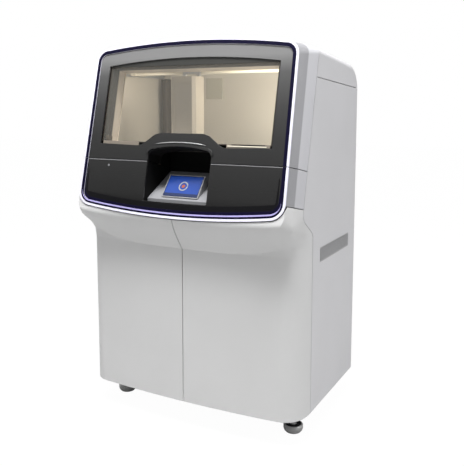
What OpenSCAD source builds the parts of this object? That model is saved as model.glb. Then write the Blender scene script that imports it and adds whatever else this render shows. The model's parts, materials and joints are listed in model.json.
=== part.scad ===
/* [Cabinet] */
// Overall width of the cabinet across its side panels
cab_w = 1080; // [1040:1:1120]
// Overall depth from the trim at the foot of the head to the rear panel
cab_d = 796; // [780:1:830]
// Overall height to the crown of the head
cab_h = 1704; // [1690:1:1725]
// Height of the lower edge of the doors and side panels above the floor
skirt_z = 118; // [115:1:135]
// Sheet thickness of the side panels
side_t = 4; // [3:0.5:5]
// Gap left along every outer parting line
part_gap = 3; // [2:0.5:4]
// Height at the rear of the seam between a side panel and the top cover
top_seam_z = 1500; // [1480:1:1510]
// Rise of that seam towards the front, in degrees
seam_rise = 3.5; // [0:0.5:4]
// Height of the crown of the top cover where it meets the head
crown_z = 1696; // [1690:1:1699]
// Fall of the top cover towards the rear, in degrees
cover_fall = 5.5; // [3:0.5:6]
// Fall of the top cover from its crown to the side
crown_drop = 48; // [40:1:56]
// Radius along the top edge of the cabinet
top_edge_r = 30; // [20:1:36]
// Radius along the rear edge of the top cover
cover_edge_r = 90; // [30:1:94]
// Wall of the top cover
cover_t = 4; // [3:0.5:6]

/* [Sloping face] */
// Backward tilt of the face
face_tilt = 13.45; // [12:0.05:14.5]
// Height of the lowest point of the face trim
rim_low_z = 952; // [940:1:960]
// Half width of the face trim at its foot
rim_half_low = 509; // [500:1:516]
// Half width of the face trim at its top
rim_half_top = 498; // [485:1:503]
// Rise of the arched top and bottom edges of the face
rim_sag = 36; // [28:1:42]
// Corner radius at the top of the face
rim_r_top = 58; // [45:1:65]
// Corner radius at the foot of the face
rim_r_low = 68; // [55:1:75]
// Width of the light outer band of the trim
rim_light_w = 10; // [6:1:12]
// Width of the dark inner band of the trim
rim_dark_w = 15; // [10:1:18]
// How far the trim stands proud of the face panels
rim_proud = 5; // [3:0.5:7]
// Thickness of the face panels
face_t = 8; // [6:0.5:10]
// Depth of the head's band behind the face
band_d = 105; // [95:1:110]
// Depth at which the band's chamfer ends
crease_d = 45; // [38:1:52]
// Distance of the crease inside the cabinet side at the top of the head
crease_in_top = 20; // [12:1:26]
// Distance of the crease inside the cabinet side at the foot of the head
crease_in_low = 14; // [6:1:20]
// Height up the face of the split between door and fascia
split_v = 240.5; // [230:0.5:250]
// Height up the face of the seam between fascia and lower doors
chin_v = 88; // [84:1:92]

/* [Window] */
// Half width of the window
win_half = 424; // [410:1:430]
// Height up the face of the window's lower edge at its ends
win_low_v = 306; // [300:1:310]
// Height up the face of the window's upper edge at its ends
win_top_v = 664; // [650:1:670]
// Rise of the window's arched upper edge
win_sag = 28; // [22:1:34]
// Rise of the window's lower edge over the screen niche
win_bump = 57; // [50:1:62]
// Half width of the flat top of that rise
bump_half = 110; // [95:1:118]
// Half width of the rise at its foot
bump_foot = 216; // [205:1:230]
// Thickness of the window
glass_t = 4; // [3:0.5:5]
// Half width of the straight opening at the back of the door
reveal_half = 415; // [400:1:420]
// Height up the face of the foot of that opening
reveal_low_v = 324; // [321:1:328]
// Height up the face of the top of that opening
reveal_top_v = 662; // [645:1:668]
// Wall of the door's inner frame
liner_t = 4; // [3:0.5:5]

/* [Screen niche] */
// Half width of the niche
niche_half = 157; // [150:1:162]
// Height up the face of the niche's foot
niche_low_v = 67; // [62:1:70]
// Height up the face of the niche's top at its centre
niche_top_v = 306; // [300:1:310]
// Fall of the niche's top edge at its corners
niche_sag = 20; // [14:1:24]
// Corner radius of the niche
niche_r = 24; // [18:1:30]
// Height of the front edge of the console shelf
console_z = 1023; // [1020:1:1028]
// Distance of the console shelf behind the face
console_in = 34; // [28:1:40]
// Slope of the console shelf
console_tilt = 28; // [26:0.5:30]
// Length of the console shelf up its slope
console_len = 214; // [206:1:218]
// Wall of the niche
niche_t = 4; // [3:0.5:5]
// Width of the touch screen
screen_w = 180; // [150:1:200]
// Length of the touch screen up its slope
screen_l = 113; // [90:1:120]
// Slope of the touch screen
screen_tilt = 51; // [45:1:54]
// Width of the frame around the screen glass
screen_edge = 4; // [3:0.5:8]
// Bore for the status lamp in the fascia
lamp_d = 10; // [8:0.5:14]
// Position of the status lamp across the fascia
lamp_x = -362; // [-400:1:-300]
// Height of the status lamp up the face
lamp_v = 213; // [180:1:220]

/* [Lower doors] */
// Skin thickness of the doors
skin_t = 4; // [3:0.5:4.5]
// Height of the crease where the chin starts
waist_z = 808; // [798:1:816]
// Depth of the chin's overhang at the centre
chin_out = 80; // [70:1:86]
// How much higher the chin starts at the corners
chin_lift = 45; // [0:1:55]
// How much further back the doors stand at their foot than at the waist
door_lean = -6; // [-10:1:8]
// Bow of the doors in plan from centre to corner
door_bow = 20; // [8:1:30]
// Half width of the bowed part of the doors
bow_half = 446; // [436:1:452]
// Distance of the doors' side edge behind the foremost point
side_back = 233; // [225:1:240]
// Height at which the side edge starts to sweep forward
sweep_z0 = 882; // [872:1:890]
// Height at which the side edge joins the head
sweep_z1 = 992; // [980:1:1000]
// Gap between door and side panel along the side edge
edge_gap = 3.5; // [3:0.25:5]
// Radius of the lower door hinge knuckles
knuckle_r = 4; // [3.5:0.25:4]
// Radius of the lower door hinge pins
pin_r = 2; // [1.5:0.25:2.25]
// Running clearance of hinge pins in their bores
pin_fit = 0.06; // [0.03:0.01:0.09]
// Length of each hinge knuckle
knuckle_l = 32; // [24:1:44]
// Distance of the hinge pins inside the side
hinge_in = 9; // [9:0.25:9.5]
// Distance of the hinge pins behind the doors' side edge
hinge_behind = 12; // [11.5:0.25:13]
// Thickness of the pressed door liners
pan_t = 2; // [1.5:0.25:3]

/* [Frame] */
// Width of the square frame tubes
tube = 36; // [32:1:38]
// Height of the frame's base above the floor
base_z = 112; // [100:1:120]
// Wall of sheet parts inside the cabinet
sheet = 3; // [2:0.5:4]
// Diameter of the levelling feet
foot_d = 86; // [70:1:92]
// Height of the feet's pads
foot_pad_h = 38; // [28:1:44]
// Diameter of the feet's threaded stems
stem_d = 16; // [12:1:20]
// Half distance between the front feet
foot_x = 449; // [440:1:462]
// Half distance between the rear feet
rear_foot_x = 380; // [340:1:400]
// Distance of the front feet behind the doors' side edge
foot_in = 35; // [30:1:60]
// Distance of the rear feet from the rear
rear_foot_in = 110; // [90:1:140]

/* [Vents] */
// Length of the louvred opening in each side
vent_l = 380; // [340:5:400]
// Height of the louvred opening in each side
vent_h = 65; // [50:1:74]
// Height of the opening's foot
vent_z = 757; // [740:1:780]
// Distance of the opening from the rear
vent_back = 93; // [88:1:110]
// Pitch of the slots in the louvres
slot_p = 10; // [8:1:16]
// Width of a fan in the rear panel
fan_w = 160; // [140:1:170]
// Blades on each fan
fan_blades = 7; // [5:1:9]

/* [Chamber] */
// Height of the deck's working face
deck_z = 1095; // [1090:1:1100]
// Height of the chamber's ceiling
ceiling_z = 1600; // [1590:1:1604]
// Distance of the chamber's back wall from the rear
chamber_back = 103; // [95:1:115]
// Height of the underside of the gantry's beam
beam_z = 1566; // [1556:1:1570]
// Height of the gantry's beam
beam_h = 24; // [20:1:26]
// Depth of the gantry's beam
beam_d = 60; // [50:1:70]
// Position of the gantry's beam, front to back
beam_y = 40; // [36:1:50]
// Width of the pipetting column
column_w = 135; // [120:1:140]
// Depth of the pipetting column
column_d = 84; // [76:1:90]
// Height of the pipetting column
column_h = 304; // [290:1:306]
// Position of the pipetting column at rest, across the chamber
column_x = -133; // [-180:1:-100]
// Travel of the pipette head
head_travel = 40; // [20:1:44]
// Height of the thermal cycler's block above the deck
cycler_h = 25; // [20:1:30]
// Width of the thermal cycler
cycler_w = 180; // [160:1:190]
// Height of the sample rack on its riser
sample_h = 154; // [100:1:160]
// Height of the shelf in the lower bay
shelf_z = 560; // [520:5:600]
// Width of the optics housing under the deck
optics_w = 520; // [300:5:600]
// Height of the optics housing
optics_h = 164; // [100:2:180]
// Distance of the lower bay's back wall from the rear
bay_back = 200; // [180:1:220]
// Diameter of the reagent bottles
bottle_d = 120; // [90:1:130]
// Height of the reagent bottles to their shoulders
bottle_h = 210; // [160:1:240]
// Width of a reagent cartridge
cartridge_w = 112; // [100:1:130]
// Length of a reagent cartridge
cartridge_l = 240; // [220:1:260]
// Height of a reagent cartridge
cartridge_h = 90; // [60:1:120]
// Pipette channels
channels = 8; // [4:1:8]
// Pitch of pipettes, tips and wells
pitch = 9; // [8:0.5:9]

/* [Hidden] */
$fn = 48;
half = cab_w/2;
back_y = cab_d/2;
front_y = -cab_d/2;
ct = cos(face_tilt);
st = sin(face_tilt);
tt = tan(face_tilt);
far = 3000;
eps = 0.01;
seat = 0.3;

// the face's own frame: x across, v up the slope, w out of the slope
face_y0 = front_y + rim_proud*ct;
face_z0 = rim_low_z - rim_proud*st;
face_len = (cab_h - face_z0 - rim_proud*st)/ct;
function face_y(z) = face_y0 + (z - face_z0)*tt;
function plane_y(z, w) = face_y(z) - w/ct;
function seam_z(y) = top_seam_z + (back_y - y)*tan(seam_rise);
function at_face(x, v, w) = [x, face_y0 + v*st - w*ct, face_z0 + v*ct + w*st];

// hinge line of the upper door, inside the top rear corner of the band
pivot_in = 18;
pivot_w = -band_d + pivot_in;
pivot_v = (crown_z - face_z0 - pivot_w*st)/ct - pivot_in;
pivot = at_face(0, pivot_v, pivot_w);
top_pin_r = 4;
arm_x = 150;
arm_w = 26;
arm_t = 8;
arm_reach = 70;
barrel_r = 9;

// lower door hinge line
side_y0 = front_y + side_back;
hinge_x = half - hinge_in;
hinge_y = side_y0 + hinge_behind;
neck_in = 14;
neck_fwd = 16;
neck_t = 3;
knuckles = [190, 470, 740];

front_foot_y = side_y0 + foot_in;
rear_foot_y = back_y - rear_foot_in;
plate = 40;
bay_z = base_z + tube + sheet;
arm_z = 1040;
post_x = half - side_t - 6 - tube/2;
post_front = side_y0 + 25 + tube/2;
post_back = back_y - cover_t - tube/2;
post_top = top_seam_z + 38;
rear_top = top_seam_z - 2;
deck_t = 6;
chamber_half = post_x - tube/2 - sheet;
chamber_y1 = back_y - chamber_back;
front_w = -band_d - 4;
seal_in = 8;
seal_out = 22;
front_y_at = plane_y(deck_z, front_w);
console_y = face_y(console_z) + console_in;
console_y1 = console_y + console_len*cos(console_tilt);
console_z1 = console_z + console_len*sin(console_tilt);
console_t = 14;
screen_in = 13;
screen_lip = 5;
niche_z = face_z0 + (niche_top_v + 2)*ct - band_d*st;
rail_t = 4;
column_z = beam_z - 14;
carriage_y1 = beam_y - beam_d/2 - rail_t - seat;
carriage_y0 = carriage_y1 - 14;
column_y = carriage_y0 - column_d/2;
head_z = column_z - column_h;
nozzle_drop = 66;
tip_h = 4;
rack_x = 70;
rack_w = 84;
rack_l = 126;
rack_y = chamber_y1 - rack_l - 78;
crossbar_z = waist_z + 24;
bay_y1 = back_y - bay_back;
fan_z = 1350;
fan_x = 170;
fan_r = fan_w/2 - 6;
inlet_x = -390;
inlet_z = 240;

function mix(a, b, t) = a + (b - a)*t;
function clamp01(t) = min(1, max(0, t));
function ease(t) = let (u = clamp01(t)) u*u*(3 - 2*u);
function arc(c, r, a0, a1, n) = [for (i = [0:n]) let (a = a0 + (a1 - a0)*i/n) c + r*[cos(a), sin(a)]];
function flip(pts) = [for (i = [len(pts) - 1:-1:0]) [-pts[i].x, pts[i].y]];

// closed outline with arched top and foot, straight tapering sides and round corners;
// inset moves it inward by a constant distance
function corner_c(n, c, r, t, big, sign) =
    let (d = [-n.y, n.x], q = (c - r)*n - t, b = q*d, k = b*b - q*q + (big - r)*(big - r))
    (c - r)*n + (-b + sign*sqrt(k))*d;
function shield(low_half, top_half, v0, v1, sag_low, sag_top, r_low, r_top, inset = 0) =
    let (len_v = v1 - v0,
         n = [len_v, low_half - top_half]/norm([len_v, low_half - top_half]),
         c = n*[low_half, v0],
         big_t = (top_half*top_half + sag_top*sag_top)/(2*sag_top),
         big_b = (low_half*low_half + sag_low*sag_low)/(2*sag_low),
         t = [0, v1 - big_t], b = [0, v0 + big_b],
         ct_ = corner_c(n, c, r_top, t, big_t, 1), cb = corner_c(n, c, r_low, b, big_b, -1),
         at = atan2(ct_.y - t.y, ct_.x), ab = atan2(cb.y - b.y, cb.x), g = atan2(n.y, n.x),
         right = concat(arc(b, big_b - inset, -90, ab, 9), arc(cb, r_low - inset, ab, g, 7),
                        arc(ct_, r_top - inset, g, at, 7), arc(t, big_t - inset, at, 90, 9)))
    concat([for (i = [0:len(right) - 1]) if (i != 10 && i != 26) right[i]],
           [for (p = flip([for (i = [1:len(right) - 2]) if (i != 10 && i != 26) right[i]])) p]);
function rim(inset = 0) = shield(rim_half_low, rim_half_top, 0, face_len, rim_sag, rim_sag,
                                 rim_r_low, rim_r_top, inset);
band_top_v = (crown_z - face_z0 + band_d*st)/ct;

module on_face() {
    translate([0, face_y0, face_z0]) rotate([90 - face_tilt, 0, 0]) children();
}
// slab of the face's frame between two depths and two heights up the slope
module face_slab(w0, w1, v0 = -far/2, v1 = far/2, x0 = -far/2, x1 = far/2) {
    on_face() translate([x0, v0, w0]) cube([x1 - x0, v1 - v0, w1 - w0]);
}
module face_prism(pts, w0, w1) {
    on_face() translate([0, 0, w0]) linear_extrude(w1 - w0) polygon(pts);
}
// closed skin over a stack of rings with equal, even counts of points
module loft(rings) {
    n = len(rings[0]);
    m = len(rings);
    polyhedron(points = [for (r = rings) for (p = r) p],
        faces = concat([for (i = [0:n/2 - 2]) each [[i, i + 1, n - 1 - i], [i + 1, n - 2 - i, n - 1 - i]]],
            [for (k = [0:m - 2]) for (i = [0:n - 1]) let (j = (i + 1)%n)
                [k*n + i, (k + 1)*n + i, (k + 1)*n + j]],
            [for (k = [0:m - 2]) for (i = [0:n - 1]) let (j = (i + 1)%n)
                [k*n + i, (k + 1)*n + j, k*n + j]],
            [for (i = [0:n/2 - 2]) let (t = (m - 1)*n)
                each [[t + i + 1, t + i, t + n - 1 - i], [t + n - 2 - i, t + i + 1, t + n - 1 - i]]]));
}
module block(x0, x1, y0, y1, z0, z1) {
    translate([x0, y0, z0]) cube([x1 - x0, y1 - y0, z1 - z0]);
}
module both() { children(); mirror([1, 0, 0]) children(); }

// band round the head behind the face
module band() {
    a = shield(rim_half_low - 2, rim_half_top - 2, 2, face_len - 2, rim_sag, rim_sag,
               rim_r_low - 2, rim_r_top - 2);
    b = shield(half - crease_in_low, half - crease_in_top, -60, mix(face_len, band_top_v, 0.5), rim_sag,
               mix(rim_sag, crown_drop, 0.6), 40, 46);
    c = shield(half, half, -90, band_top_v, rim_sag, crown_drop/ct, 40, top_edge_r);
    on_face() loft([[for (p = c) [p.x, p.y, -band_d]], [for (p = b) [p.x, p.y, -crease_d]],
                    [for (p = a) [p.x, p.y, 0]]]);
}

// plan of the lower doors at a height; wall moves it inward
kink_y = front_y + rim_proud*ct + chin_out;
chin_ctl = rim_low_z - 40;
function chin_t(z) = let (a = 2*chin_ctl - waist_z - rim_low_z, b = 2*(chin_ctl - waist_z))
    abs(a) < eps ? (z - waist_z)/b : (b - sqrt(b*b - 4*a*(z - waist_z)))/(2*a);
function mid_y(z) = z <= waist_z ? kink_y + door_lean*(waist_z - z)/(waist_z - skirt_z)
    : z < rim_low_z ? mix(kink_y, face_y0, 1 - pow(1 - chin_t(z), 2)) : face_y(z);
function bow_at(z) = z <= waist_z ? door_bow : z < rim_low_z ? door_bow*pow(1 - chin_t(z), 2) : 0;
function sweep(z) = ease((z - sweep_z0)/(sweep_z1 - sweep_z0));
function side_y(z) = mix(side_y0, face_y(z) + band_d/ct, sweep(z));
function bow_x(z) = mix(bow_half, rim_half_low - 3, sweep(z));
// towards the corners the chin starts higher up
function front_at(x, z) = let (u = x/bow_x(z))
    mid_y(z - chin_lift*pow(u, 6)*(1 - sweep(z))) + bow_at(z)*u*u;
function bez(a, b, c, d, t) = let (s = 1 - t) s*s*s*a + 3*s*s*t*b + 3*s*t*t*c + t*t*t*d;
function door_plan(z, wall, x0, nf = 10, nc = 10) =
    let (x1 = bow_x(z) - wall*0.4, h = half - wall, y1 = front_at(bow_x(z), z) + wall, y2 = side_y(z),
         slope = 2*bow_at(z)/bow_x(z), k = 0.62,
         a = [x1, y1], d = [h, y2],
         b = a + k*(h - x1)*[1, slope], c = [h, mix(y2, y1, k)],
         m = [half - crease_in_low - wall*0.75, face_y(z) + crease_d/ct + wall*0.4])
    concat([for (i = [0:nf]) let (x = mix(x0, x1, i/nf)) [x, front_at(min(x, bow_x(z)), z) + wall]],
           [for (i = [1:nc]) let (t = i/nc, r = bez(a, b, c, d, t),
                                  f = t < 0.5 ? mix(a, m, 2*t) : mix(m, d, 2*t - 1))
                mix(r, f, sweep(z))]);
chin_rings = [for (i = [0:16]) mix(waist_z, sweep_z1, i/16)];
door_levels = concat([skirt_z, mix(skirt_z, waist_z, 0.5)], chin_rings,
                     [for (i = [1:3]) mix(sweep_z1, rim_low_z + chin_v + 20, i/3)]);
function at_z(pts, z) = [for (p = pts) [p.x, p.y, z]];
function turned(pts) = [for (i = [len(pts) - 1:-1:0]) pts[i]];
module door_skin() {
    x0 = part_gap/2;
    loft([for (z = door_levels) at_z(concat(door_plan(z, 0, x0), turned(door_plan(z, skin_t, x0))), z)]);
}

// door side of a gooseneck hinge: from the pin inwards, forwards and out to the skin
module gooseneck(z) {
    i = neck_in;
    f = neck_fwd;
    t = neck_t/2;
    translate([hinge_x, hinge_y, z - knuckle_l/2]) {
        cylinder(r = knuckle_r, h = knuckle_l);
        linear_extrude(knuckle_l)
            polygon([[0, t], [-i - t, t], [-i - t, -f - t], [half - skin_t/2 - hinge_x, -f - t],
                     [half - skin_t/2 - hinge_x, -f + t], [-i + t, -f + t], [-i + t, -t], [0, -t]]);
    }
}
module lower_door() {
    difference() {
        union() {
            difference() {
                door_skin();
                face_prism(rim(-part_gap), -band_d, far/8);
                face_slab(-far/4, far/4, chin_v - part_gap/2);
            }
            for (z = knuckles) gooseneck(z);
        }
        for (z = knuckles)
            translate([hinge_x, hinge_y, z - knuckle_l/2 - 1])
                cylinder(r = pin_r + pin_fit, h = knuckle_l + 2);
    }
}
pan_y = front_at(bow_half, skirt_z) + skin_t + 14;
pan_x0 = part_gap/2 + 8;
pan_x1 = bow_half + 20;
pan_z0 = skirt_z + 22;
pan_z1 = waist_z - 16;
function pan_plan(z) = concat([[pan_x0, pan_y]],
    [for (i = [0:10]) let (x = mix(pan_x0, bow_half - 4, i/10)) [x, front_at(x, z) + skin_t + seat]],
    [[bow_half - 4, pan_y]]);
module door_liner() {
    // flat back sheet with its folded edges reaching the skin
    block(pan_x0, pan_x1, pan_y - pan_t, pan_y, pan_z0, pan_z1);
    translate([0, 0, pan_z0]) linear_extrude(pan_t) polygon(pan_plan(pan_z0));
    translate([0, 0, pan_z1 - pan_t]) linear_extrude(pan_t) polygon(pan_plan(pan_z1 - pan_t));
    translate([0, 0, mix(pan_z0, pan_z1, 0.5)]) linear_extrude(pan_t)
        polygon(pan_plan(mix(pan_z0, pan_z1, 0.5)));
    translate([pan_x0 + pan_t, 0, 0]) rotate([0, -90, 0]) linear_extrude(pan_t)
        polygon([[pan_z0, pan_y], [pan_z1, pan_y],
                 [pan_z1, front_at(pan_x0, pan_z1) + skin_t + seat],
                 [pan_z0, front_at(pan_x0, pan_z0) + skin_t + seat]]);
}
module hinge_set() {
    // fixed knuckles above and below each door knuckle, on one plate screwed to the post
    leaf_y = post_front - tube/2;
    for (z = knuckles) {
        translate([hinge_x, hinge_y, z - knuckle_l/2 - 18]) cylinder(r = pin_r, h = knuckle_l + 36);
        for (z0 = [z - knuckle_l/2 - 17, z + knuckle_l/2 + 1]) {
            translate([hinge_x, hinge_y, z0]) cylinder(r = knuckle_r, h = 16);
            block(hinge_x - neck_t/2, hinge_x + neck_t/2, hinge_y, leaf_y, z0, z0 + 16);
        }
        block(hinge_x - 34, hinge_x + neck_t/2, leaf_y - sheet, leaf_y, z - knuckle_l/2 - 17,
              z + knuckle_l/2 + 17);
    }
}

// side view of the cabinet's flank, behind the doors and the head
flank_levels = concat([skirt_z, sweep_z0], [for (i = [1:12]) mix(sweep_z0, sweep_z1, i/12)]);
flank_y = (plane_y(top_seam_z, -band_d - part_gap) + tt*tan(seam_rise)*back_y)/(1 + tt*tan(seam_rise));
flank = concat([for (z = flank_levels) [side_y(z) + edge_gap, z]],
    [[flank_y, seam_z(flank_y) - part_gap/2], [back_y, top_seam_z - part_gap/2], [back_y, skirt_z]]);
module side_panel() {
    difference() {
        translate([half - side_t, 0, 0]) rotate([90, 0, 90]) linear_extrude(side_t)
            polygon(flank);
        block(half - side_t - 1, half + 1, back_y - vent_back - vent_l, back_y - vent_back,
              vent_z, vent_z + vent_h);
    }
    // folded stiffeners that bear on the frame's posts
    x0 = half - side_t - 6;
    for (y = [post_front, post_back])
        block(x0, half - side_t, y - 14, y + 14, bay_z, top_seam_z - 30);
    block(x0, half - side_t, post_front + 14, post_back - 14, skirt_z + 12, skirt_z + 16);
}
module vent_grille() {
    // louvred insert clipped behind the opening
    y0 = back_y - vent_back - vent_l;
    n = floor((vent_l - 16)/slot_p);
    difference() {
        union() {
            block(half - side_t - 2, half - side_t, y0 - 8, y0 + vent_l + 8, vent_z - 8, vent_z + vent_h + 8);
            block(half - side_t, half - 1.5, y0 + seat, y0 + vent_l - seat, vent_z + seat,
                  vent_z + vent_h - seat);
        }
        for (i = [0:n - 1], r = [0, 1])
            block(half - side_t - 3, half, y0 + 10 + i*slot_p, y0 + 10 + i*slot_p + slot_p*0.45,
                  vent_z + 6 + r*(vent_h/2 - 2), vent_z + vent_h/2 - 4 + r*(vent_h/2 - 2));
    }
}

// arched section of the top cover, lower towards the rear; drop lowers it further
cover_y0 = plane_y(crown_z, -band_d);
function crown(inset, drop, y) = let (top = crown_z - (y - cover_y0)*tan(cover_fall) - inset - drop)
    [for (p = shield(half - inset, half - inset, top - far/4, top, 10, crown_drop - inset*0.1, 20,
                     top_edge_r - inset)) [-p.x, y, p.y]];
module top_cover() {
    r = cover_edge_r;
    q = r - cover_t;
    difference() {
        loft(concat([crown(0, 0, cover_y0 - 60)],
                    [for (a = [0:15:90]) crown(0, r - r*cos(a), back_y - r + r*sin(a))]));
        loft(concat([crown(cover_t, 0, cover_y0 - 61)],
                    [for (a = [0:15:90]) crown(cover_t, q - q*cos(a), back_y - r + q*sin(a))]));
        rotate([90, 0, 90]) linear_extrude(far, center = true)
            polygon([[-far/2, seam_z(-far/2) + part_gap/2], [far/2, seam_z(far/2) + part_gap/2],
                     [far/2, -far/2], [-far/2, -far/2]]);
        face_slab(-band_d - part_gap, far, -far, far);
        // clearance for the hinge arms at the front edge
        both() block(arm_x - arm_w/2 - 2, arm_x + arm_w/2 + 2, pivot.y - 40, pivot.y + 24,
                     pivot.z - pivot_in, far);
    }
}

module window_2d() {
    big = (win_half*win_half + win_sag*win_sag)/(2*win_sag);
    a = asin(win_half/big);
    bump = [for (i = [0:16]) let (x = mix(-bump_foot, bump_foot, i/16))
        [x, win_low_v + win_bump*ease((bump_foot - abs(x))/(bump_foot - bump_half))]];
    polygon(concat([[-win_half, win_low_v + 5]], bump, [[win_half, win_low_v + 5]],
        arc([0, win_top_v + win_sag - big], big, 90 - a, 90 + a, 20)));
}
module niche_2d(gap = 0) {
    h = niche_half + gap;
    big = (h*h + niche_sag*niche_sag)/(2*niche_sag);
    polygon(shield(h, h, niche_low_v - gap, niche_top_v + gap, 1, niche_sag, 4, niche_r + gap));
}
module upper_door_shell() {
    difference() {
        intersection() {
            band();
            face_slab(-band_d, 0, split_v + part_gap/2);
        }
        face_prism(rim(rim_light_w + rim_dark_w - 8), -far/4, far/4);
        // rear top corner rounded about the hinge line
        difference() {
            on_face() translate([-far/2, pivot_v, -band_d - 1]) cube([far, far, pivot_in + 1]);
            translate([-far/2, pivot.y, pivot.z]) rotate([0, 90, 0]) cylinder(r = pivot_in, h = far);
        }
        // pockets for the fixed hinge arms
        both() hinge_pocket();
    }
}
module hinge_pocket() {
    x0 = arm_x - arm_w/2 - 1;
    translate([x0, 0, 0]) intersection() {
        translate([0, pivot.y, pivot.z]) rotate([0, 90, 0]) cylinder(r = 21, h = arm_w + 2);
        on_face() translate([-1, pivot_v - 12, -band_d - 1]) cube([arm_w + 4, far/4, far/4]);
    }
    translate([arm_x - arm_w/2 - 20, pivot.y, pivot.z]) rotate([0, 90, 0])
        cylinder(r = top_pin_r + pin_fit, h = arm_w + 40);
}
module upper_door_hinges() {
    both() {
        translate([arm_x - arm_w/2 - 18, pivot.y, pivot.z]) rotate([0, 90, 0])
            cylinder(r = top_pin_r, h = arm_w + 36);
        translate([arm_x - arm_w/2, 0, 0]) {
            translate([0, pivot.y, pivot.z]) rotate([0, 90, 0]) cylinder(r = barrel_r, h = arm_w);
            block(0, arm_w, pivot.y, pivot.y + arm_reach, pivot.z - arm_t - 3, pivot.z - 3);
            block(0, arm_w, pivot.y + arm_reach - 12, pivot.y + arm_reach, ceiling_z + sheet, pivot.z - 3);
        }
    }
}
module upper_door_liner() {
    // inner frame of the door, with the straight reveal round its opening
    o = rim_light_w + rim_dark_w - 8 + seat;
    difference() {
        face_prism(rim(o), -band_d, -face_t - seat);
        difference() {
            face_prism(rim(o + liner_t), -band_d + liner_t, far/4);
            face_slab(-band_d, 0, reveal_low_v - liner_t, reveal_top_v + liner_t,
                      -reveal_half - liner_t, reveal_half + liner_t);
            face_slab(-band_d, 0, -far/2, split_v + part_gap/2 + liner_t);
            on_face() translate([0, 0, -band_d]) linear_extrude(band_d) niche_2d(liner_t + seat);
        }
        face_slab(-far/4, far/4, reveal_low_v, reveal_top_v, -reveal_half, reveal_half);
        face_slab(-far/4, far/4, -far/2, split_v + part_gap/2);
        on_face() translate([0, 0, -far/4]) linear_extrude(far/2) niche_2d();
        on_face() translate([-far/2, pivot_v - 14, -band_d - 1]) cube([far, far, 24]);
        both() block(arm_x - arm_w/2 - 24, arm_x + arm_w/2 + 24, pivot.y - 26, far,
                     pivot.z - 26, far);
    }
}
module upper_door_face() {
    difference() {
        face_prism(rim(rim_light_w + rim_dark_w - 8 + seat), -face_t, 0);
        face_slab(-far/4, far/4, -far/2, split_v + part_gap/2);
        on_face() translate([0, 0, -far/4]) linear_extrude(far/2) window_2d();
        on_face() translate([0, 0, -far/4]) linear_extrude(far/2) niche_2d();
    }
    // grip lip over the niche
    difference() {
        on_face() translate([0, 0, 0]) linear_extrude(7) difference() {
            niche_2d(9);
            niche_2d();
        }
        face_slab(-far/4, far/4, -far/2, niche_top_v - niche_sag - 14);
    }
}
module upper_door_glass() {
    on_face() translate([-reveal_half + seat, reveal_low_v + seat, -face_t - seat - glass_t])
        cube([2*(reveal_half - seat), reveal_top_v - reveal_low_v - 2*seat, glass_t]);
}
// light outer band of the trim, with a step for the dark band beside it
module trim(v0, v1) {
    difference() {
        face_prism(rim(0), 0, rim_proud);
        face_prism(rim(rim_light_w + rim_dark_w), -1, rim_proud + 1);
        face_prism(rim(rim_light_w), rim_proud - 1.5, rim_proud + 1);
        face_slab(-1, rim_proud + 1, -far/2, v0);
        face_slab(-1, rim_proud + 1, v1, far/2);
    }
}
// dark inner band, set a little lower than the light one
module trim_dark(v0, v1) {
    difference() {
        face_prism(rim(rim_light_w + seat), rim_proud - 1.5, rim_proud - 0.5);
        face_prism(rim(rim_light_w + rim_dark_w), -1, rim_proud + 1);
        face_slab(-1, rim_proud + 1, -far/2, v0);
        face_slab(-1, rim_proud + 1, v1, far/2);
    }
}
module upper_door_seal() {
    on_face() translate([0, 0, front_w + seat]) linear_extrude(-band_d - front_w - seat) difference() {
        translate([-reveal_half - seal_out, reveal_low_v - seal_out])
            square([2*(reveal_half + seal_out), reveal_top_v - reveal_low_v + 2*seal_out]);
        translate([-reveal_half - seal_in, reveal_low_v - seal_in])
            square([2*(reveal_half + seal_in), reveal_top_v - reveal_low_v + 2*seal_in]);
    }
}

module fascia_flanks() {
    difference() {
        intersection() {
            band();
            face_slab(-band_d, 0, chin_v + part_gap/2, split_v - part_gap/2);
        }
        face_prism(rim(rim_light_w + rim_dark_w - 8), -far/4, far/4);
    }
}
module front_fascia() {
    difference() {
        face_prism(rim(rim_light_w + rim_dark_w - 8 + seat), -face_t, 0);
        face_slab(-far/4, far/3, split_v - part_gap/2);
        on_face() translate([0, 0, -far/4]) linear_extrude(far/2) niche_2d();
        on_face() translate([lamp_x, lamp_v, -far/8]) cylinder(d = lamp_d, h = far/4);
    }
}
module fascia_support() {
    // folded back sheet and rim that hold the fascia on the frame
    o = rim_light_w + rim_dark_w - 8 + seat;
    difference() {
        face_prism(rim(o), -band_d, -face_t - seat);
        difference() {
            face_prism(rim(o + liner_t), -band_d + liner_t, far/4);
            face_slab(-band_d, 0, split_v - part_gap/2 - liner_t);
        }
        face_slab(-far/4, far/3, split_v - part_gap/2);
        on_face() translate([0, 0, -far/4]) linear_extrude(far/2) niche_2d(niche_t + seat);
    }
}
module status_lamp() {
    on_face() translate([lamp_x, lamp_v, 0]) {
        translate([0, 0, -face_t]) cylinder(d = lamp_d - 0.4, h = face_t + 0.6);
        translate([0, 0, -face_t - 4]) cylinder(d = lamp_d + 6, h = 4 - eps);
    }
}
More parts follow.
